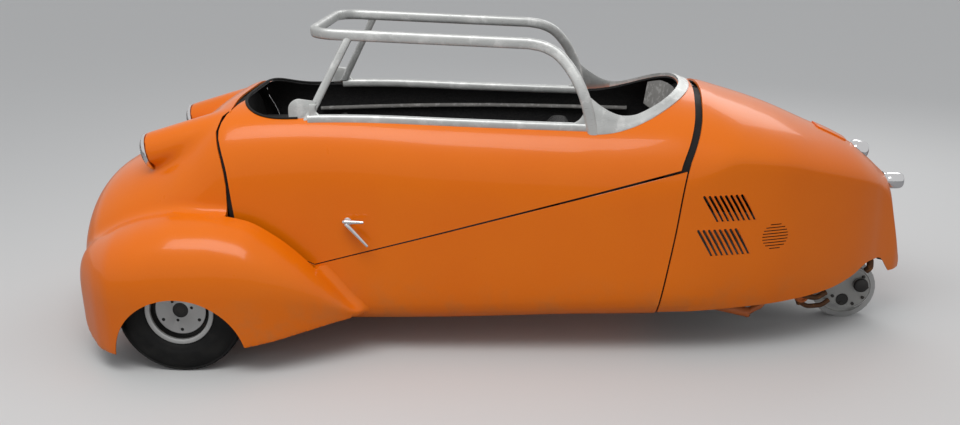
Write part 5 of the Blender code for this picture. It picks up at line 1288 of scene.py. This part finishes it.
CUSHION_LOW_Z, CUSHION_HIGH_Z = 0.262, 0.352
pad("front_cushion", (0.76, -0.19, CUSHION_LOW_Z), (1.12, 0.19, CUSHION_HIGH_Z),
    0.0, 6, 0.012, "front_seat_cushion")
pad("front_back_pad", (1.128, -0.18, 0.262), (1.218, 0.18, 0.74), 0.08, 6, 0.012, "front_seat_back")
pad("rear_cushion", (1.25, -0.27, CUSHION_LOW_Z), (1.52, 0.27, CUSHION_HIGH_Z),
    0.0, 8, 0.012, "rear_seat_cushion")
BACK_LOW_Z, BACK_HIGH_Z = 0.365, 0.720
foot, *_, head = [x - 0.117 for x, _ in seam(REAR_SEAM, BACK_LOW_Z, BACK_HIGH_Z)]
pad("rear_back_pad", (foot, -0.26, BACK_LOW_Z), (foot + 0.068, 0.26, BACK_HIGH_Z), head - foot, 8, 0.01,
    "rear_seat_back")

# %% [markdown]
# The driver steers with a bar like an aircraft's. Two rubber grips with ridges slip over its ends,
# and a pod in front carries one round dial with a chrome ring, with two chrome knobs on each side.

# %% Dial, grips and knobs
COLUMN_LOW, COLUMN_HIGH = Vector((0.062, 0, 0.2)), Vector((0.48, 0, 0.66))
column_way = (COLUMN_HIGH - COLUMN_LOW).normalized()
rise_way = Vector((0, 1, 0)).cross(column_way)
rise_way *= copysign(1, rise_way.z)
bar_middle = COLUMN_HIGH + column_way * 0.0183
BAR_HALF = 0.185


def bar_place(share, rise):
    return tuple(bar_middle + Vector((0, BAR_HALF * share, 0)) + rise_way * BAR_HALF * rise)


bar_route = eased([bar_place(*p) for p in ((-1, 0.3), (-0.55, 0.36), (-0.42, 0.16), (-0.2, 0), (0.2, 0),
                                           (0.42, 0.16), (0.55, 0.36), (1, 0.3))], 0.008)
hub = spun(mm(0, 0,  20, 0,  20.5, 4,  20.5, 30,  18, 35,  10, 37,  0, 37),
           COLUMN_HIGH + column_way * 0.0004, column_way, 32)
finished(gathered([pulled(bar_route, tuple(column_way), 0.02, 0.02, 16, 2), hub], DARK),
         "steering_bar_fine", "steering", ("steering_bar",))
grips = []
for side in (-1, 1):
    start, end = Vector(bar_place(side * 0.6, 0.353)), Vector(bar_place(side, 0.3))
    span = (end - start).length
    ridges = [(0.0, 0.0), (0.0118, 0.0)]
    for i in range(9):
        at = span * (0.06 + 0.098 * i)
        ridges += [(0.0122, at), (0.0118, at + 0.0012), (0.0108, at + 0.002), (0.0108, at + 0.0034)]
    ridges += [(0.0122, span * 0.97), (0.01, span), (0.0, span)]
    grips.append(spun(ridges, start, end - start, 20))
finished(gathered(grips, RUBBER), "steering_grips", "steering")
DASH_FACE = Vector((0.2725, 0, 0.6625))
face_way = Vector((0.95, 0, 0.25)).normalized()
lathe("dial_ring", mm(36, 0,  42.5, 0,  42.5, 8,  40, 10.5,  37.5, 9.5,  36, 6),
      DASH_FACE, face_way, "body", CHROME, loop=True)
lathe("dial_face", mm(0, -1,  36, -1,  36, 3,  6, 3,  4, 6,  0, 6),
      DASH_FACE, face_way, "body", INNER, steps=40)
knob = mm(0, -2,  4, -2,  4, 10,  9, 12,  9.5, 18,  7, 21,  0, 22)
knobs = [spun(knob, (0.275, y, 0.645), face_way, 20) for y in (-0.115, -0.08, 0.08, 0.115)]
finished(gathered(knobs, CHROME), "dash_knobs", "body")

# %% [markdown]
# Under the tail the lid hangs over bare works. The two frame tubes end open, with a bracket behind
# the near one, and a thin dark disc in each mouth is painted shade for the hollow inside. The drive
# case is a sand casting with bolt heads round its rim, a dark cover, and a clamp band that follows
# its back edge. Rusty brown bosses and pipes fill the gap ahead of it.

# %% Works under the tail
CASE_X, CASE_Z, CASE_FACE_Y, CLAMP_R = 2.292, 0.136, -0.0885, 0.0785
BOLT = mm(0, -1,  6.2, -1,  6.2, 4,  5.2, 5,  0, 5.2)


def pipe(points, radius):
    return pulled(eased(points, 0.006), (0, 1, 0), radius * 2, radius * 2, 20, 2)


# Each mouth is a thin dark disc: painted shade for the inside of the open tube.
mouth = mm(0, 0,  13.5, 0,  13.5, 1.2,  0, 1.2)
mouths = [spun(mouth, (1.9155, side * 0.215, 0.088), (1, 0, 0), 24) for side in (-1, 1)]
finished(gathered(mouths, DRUM_AND_SHADE), "tube_mouth_shade", "body")
near_piece = pipe(mm3(1918, -196, 86,  1935, -190, 94,  1958, -184, 104,  1972, -180, 122),
                  0.0115)
bracket = pipe(mm3(1905, -203, 72,  1915, -198, 78,  1925, -193, 88), 0.008)
finished(gathered([near_piece, bracket], ENAMEL), "frame_stub", "body")
places = [(CASE_X + 0.064 * cos(turn), CASE_Z + 0.064 * sin(turn))
          for turn in spread(radians(-150), radians(78), 6)]
places += [(2.235 - 0.05 * i, 0.207 + 0.022 * i) for i in range(4)]
bolts = [spun(BOLT, (x, CASE_FACE_Y, z), (0, -1, 0), 6) for x, z in places]
finished(gathered(bolts, STEEL), "case_bolts", "body", sharp=20)
cap = spun(mm(0, 0,  25.5, 0,  26, 3,  23.5, 10,  15, 13.5,  0, 14.5),
           (2.33, -0.1008, 0.15), (0, -1, 0), 32)
plug = spun(mm(0, 0,  21.5, 0,  21.5, 1.5,  0, 1.5), (2.272, -0.0886, 0.09), (0, -1, 0), 32)
finished(gathered([cap, plug], DRUM_AND_SHADE), "case_caps", "body")
turns = spread(radians(-72), radians(68), 14)
clamp_line = [(CASE_X + CLAMP_R * cos(turn), -0.067, CASE_Z + CLAMP_R * sin(turn)) for turn in turns]
clamp = pulled(clamp_line, [(cos(turn), 0, sin(turn)) for turn in turns], 0.005, 0.046, 12, 4)
finished(workpiece(clamp, SILVER), "case_clamp", "body", sharp=50)
pipes = [
    pipe(mm3(2040, -94, 190,  2075, -104, 150,  2105, -106, 112,  2120, -100, 80), 0.0125),
    pipe(mm3(2120, -100, 82,  2150, -104, 70,  2190, -104, 74,  2222, -98, 92), 0.0085),
    pipe(mm3(2060, -120, 170,  2110, -130, 128,  2165, -126, 112,  2205, -112, 126), 0.01)]
finished(gathered(pipes, HEATED), "case_pipes", "body")
boss = spun(mm(0, 0,  26, 0,  28, 4,  25, 20,  19, 26,  12, 27,  11, 22,  0, 22),
            (2.118, -0.104, 0.116), (0.1, -1, -0.15), 28)
small = spun(mm(0, 0,  15, 0,  15, 20,  11, 24,  0, 24),
             (2.15, -0.1, 0.142), (0.2, -1, 0.1), 24)
finished(gathered([boss, small], ENAMEL), "case_boss", "body")
arm = pipe(mm3(2352, -75, 196,  2362, -82, 214,  2362, -78, 236,  2348, -66, 252), 0.012)
finished(workpiece(arm, HEATED), "case_arm", "body")

# %% [markdown]
# Inside the rear of the opening a pale grey lining shows, rubbed and cloudy, bent round under the
# band. Two plain boxes of trim run along the sides, and their rolled top edge catches a thin line
# of light from end to end.

# %% Lining and cockpit rolls
LINING = rough_finish("pale_lining", (0.3, 0.29, 0.27), (0.14, 0.135, 0.13), (0.4, 0.39, 0.37),
                      90, 0.0008, 0.8, 0.0, (0.5, 0.62))
LINING_REACH, LINING_HALF = 0.312, 0.332


def lining_form():
    shape = grid(60, 6)
    for vert in shape.verts:
        turn, down = pi * 0.46 * vert.co.x, (vert.co.y + 0.5) * cos(pi * 0.8 * vert.co.x) ** 0.5
        reach = reach_at(turn, REAR_POWER)
        x = OPENING_REAR_X + (LINING_REACH - 0.03 * down) * reach * cos(turn)
        y = (LINING_HALF - 0.02 * down) * reach * sin(turn)
        skin_z = body_top(OPENING_REAR_X + LINING_REACH * reach * cos(turn),
                          LINING_HALF * reach * sin(turn))
        vert.co = (x, y, min(skin_z, 0.862) - 0.016 - 0.135 * down)
    bmesh.ops.solidify(shape, geom=shape.faces[:], thickness=0.004)
    bmesh.ops.recalc_face_normals(shape, faces=shape.faces)
    return shape


finished(workpiece(lining_form(), LINING), "rear_lining", "canopy")
rolls, ROLL_Z = [], 0.7
for side in (-1, 1):
    line = [(x, side * (body_side(x, ROLL_Z) - 0.024), ROLL_Z + 0.012 * sin(pi * (x - 0.3) / 1.25))
            for x in spread(0.32, 1.52, 30)]
    rolls.append(pulled(line, (0, side, 0), 0.016, 0.016, 12, 2))
finished(gathered(rolls, LINING), "cockpit_rolls", "canopy")

# %% [markdown]
# A raised bead runs round the cowl's cut edge ahead of the frame, where the windscreen's rubber
# sat. It is pulled along the opening's outline, on the skin.

# %% Bead round the opening
edge_line = [(x, y, body_top(x, y) + 0.001) for x, y in opening_outline(0.002)]
front_edge = [p for p in edge_line if p[0] < 0.405]
front_edge.sort(key=lambda p: atan2(p[1], 0.43 - p[0]))
bead = pulled(eased(front_edge, 0.01), (0, 0, 1), 0.008, 0.01, 12, 2)
finished(workpiece(bead, RUBBER), "cowl_bead", "canopy")

# %% [markdown]
# The studio is plain: a pale floor, a pale sky of light all round, a broad soft lamp high on the
# camera's side and a weaker one behind. The floor and the sky look white to the camera and to
# shiny surfaces by their own colour, not through more light on the car.

# %% Floor
GROUND = Finish("pale_floor", Roughness=0.9)
camera_ray = GROUND.node("ShaderNodeLightPath", {"out": "Is Camera Ray"}, {})
GROUND.feed(Base_Color=GROUND.mixed(camera_ray, (0.34, 0.34, 0.34, 1), (0.66, 0.66, 0.65, 1)))
ground = bmesh.new()
bmesh.ops.create_grid(ground, x_segments=2, y_segments=2, size=40)
studio_floor = workpiece(ground, GROUND)
studio_floor.name = studio_floor.data.name = "studio_floor"

# %% Sky and lamps
world = bpy.data.worlds.new("studio")
world.use_nodes = True
bpy.context.scene.world = world
sky = world.node_tree
background = sky.nodes["Background"]
path = sky.nodes.new("ShaderNodeLightPath")


def either(first, second):
    node = sky.nodes.new("ShaderNodeMath")
    node.operation = "MAXIMUM"
    sky.links.new(first, node.inputs[0])
    sky.links.new(second, node.inputs[1])
    return node.outputs[0]


seen = either(path.outputs["Is Camera Ray"], path.outputs["Is Transmission Ray"])
seen = either(seen, path.outputs["Is Glossy Ray"])
shade = sky.nodes.new("ShaderNodeMix")
shade.data_type = "RGBA"
shade.inputs[6].default_value = (0.55, 0.56, 0.58, 1)
shade.inputs[7].default_value = (0.62, 0.62, 0.62, 1)
sky.links.new(seen, shade.inputs[0])
sky.links.new(shade.outputs[2], background.inputs["Color"])


def soft_lamp(name, place, target, size, power):
    data = bpy.data.lights.new(name, "AREA")
    data.shape, data.size, data.size_y, data.energy = "RECTANGLE", size[0], size[1], power
    lamp = bpy.data.objects.new(name, data)
    lamp.location = place
    lamp.rotation_euler = (Vector(target) - Vector(place)).to_track_quat("-Z", "Y").to_euler()
    bpy.context.scene.collection.objects.link(lamp)


soft_lamp("key_lamp", (-0.8, -2.2, 3.6), (0, 0, 0.4), (3.4, 1.6), 78)
soft_lamp("fill_lamp", (1.6, 2.8, 2.8), (0, 0, 0.4), (3.0, 1.5), 30)
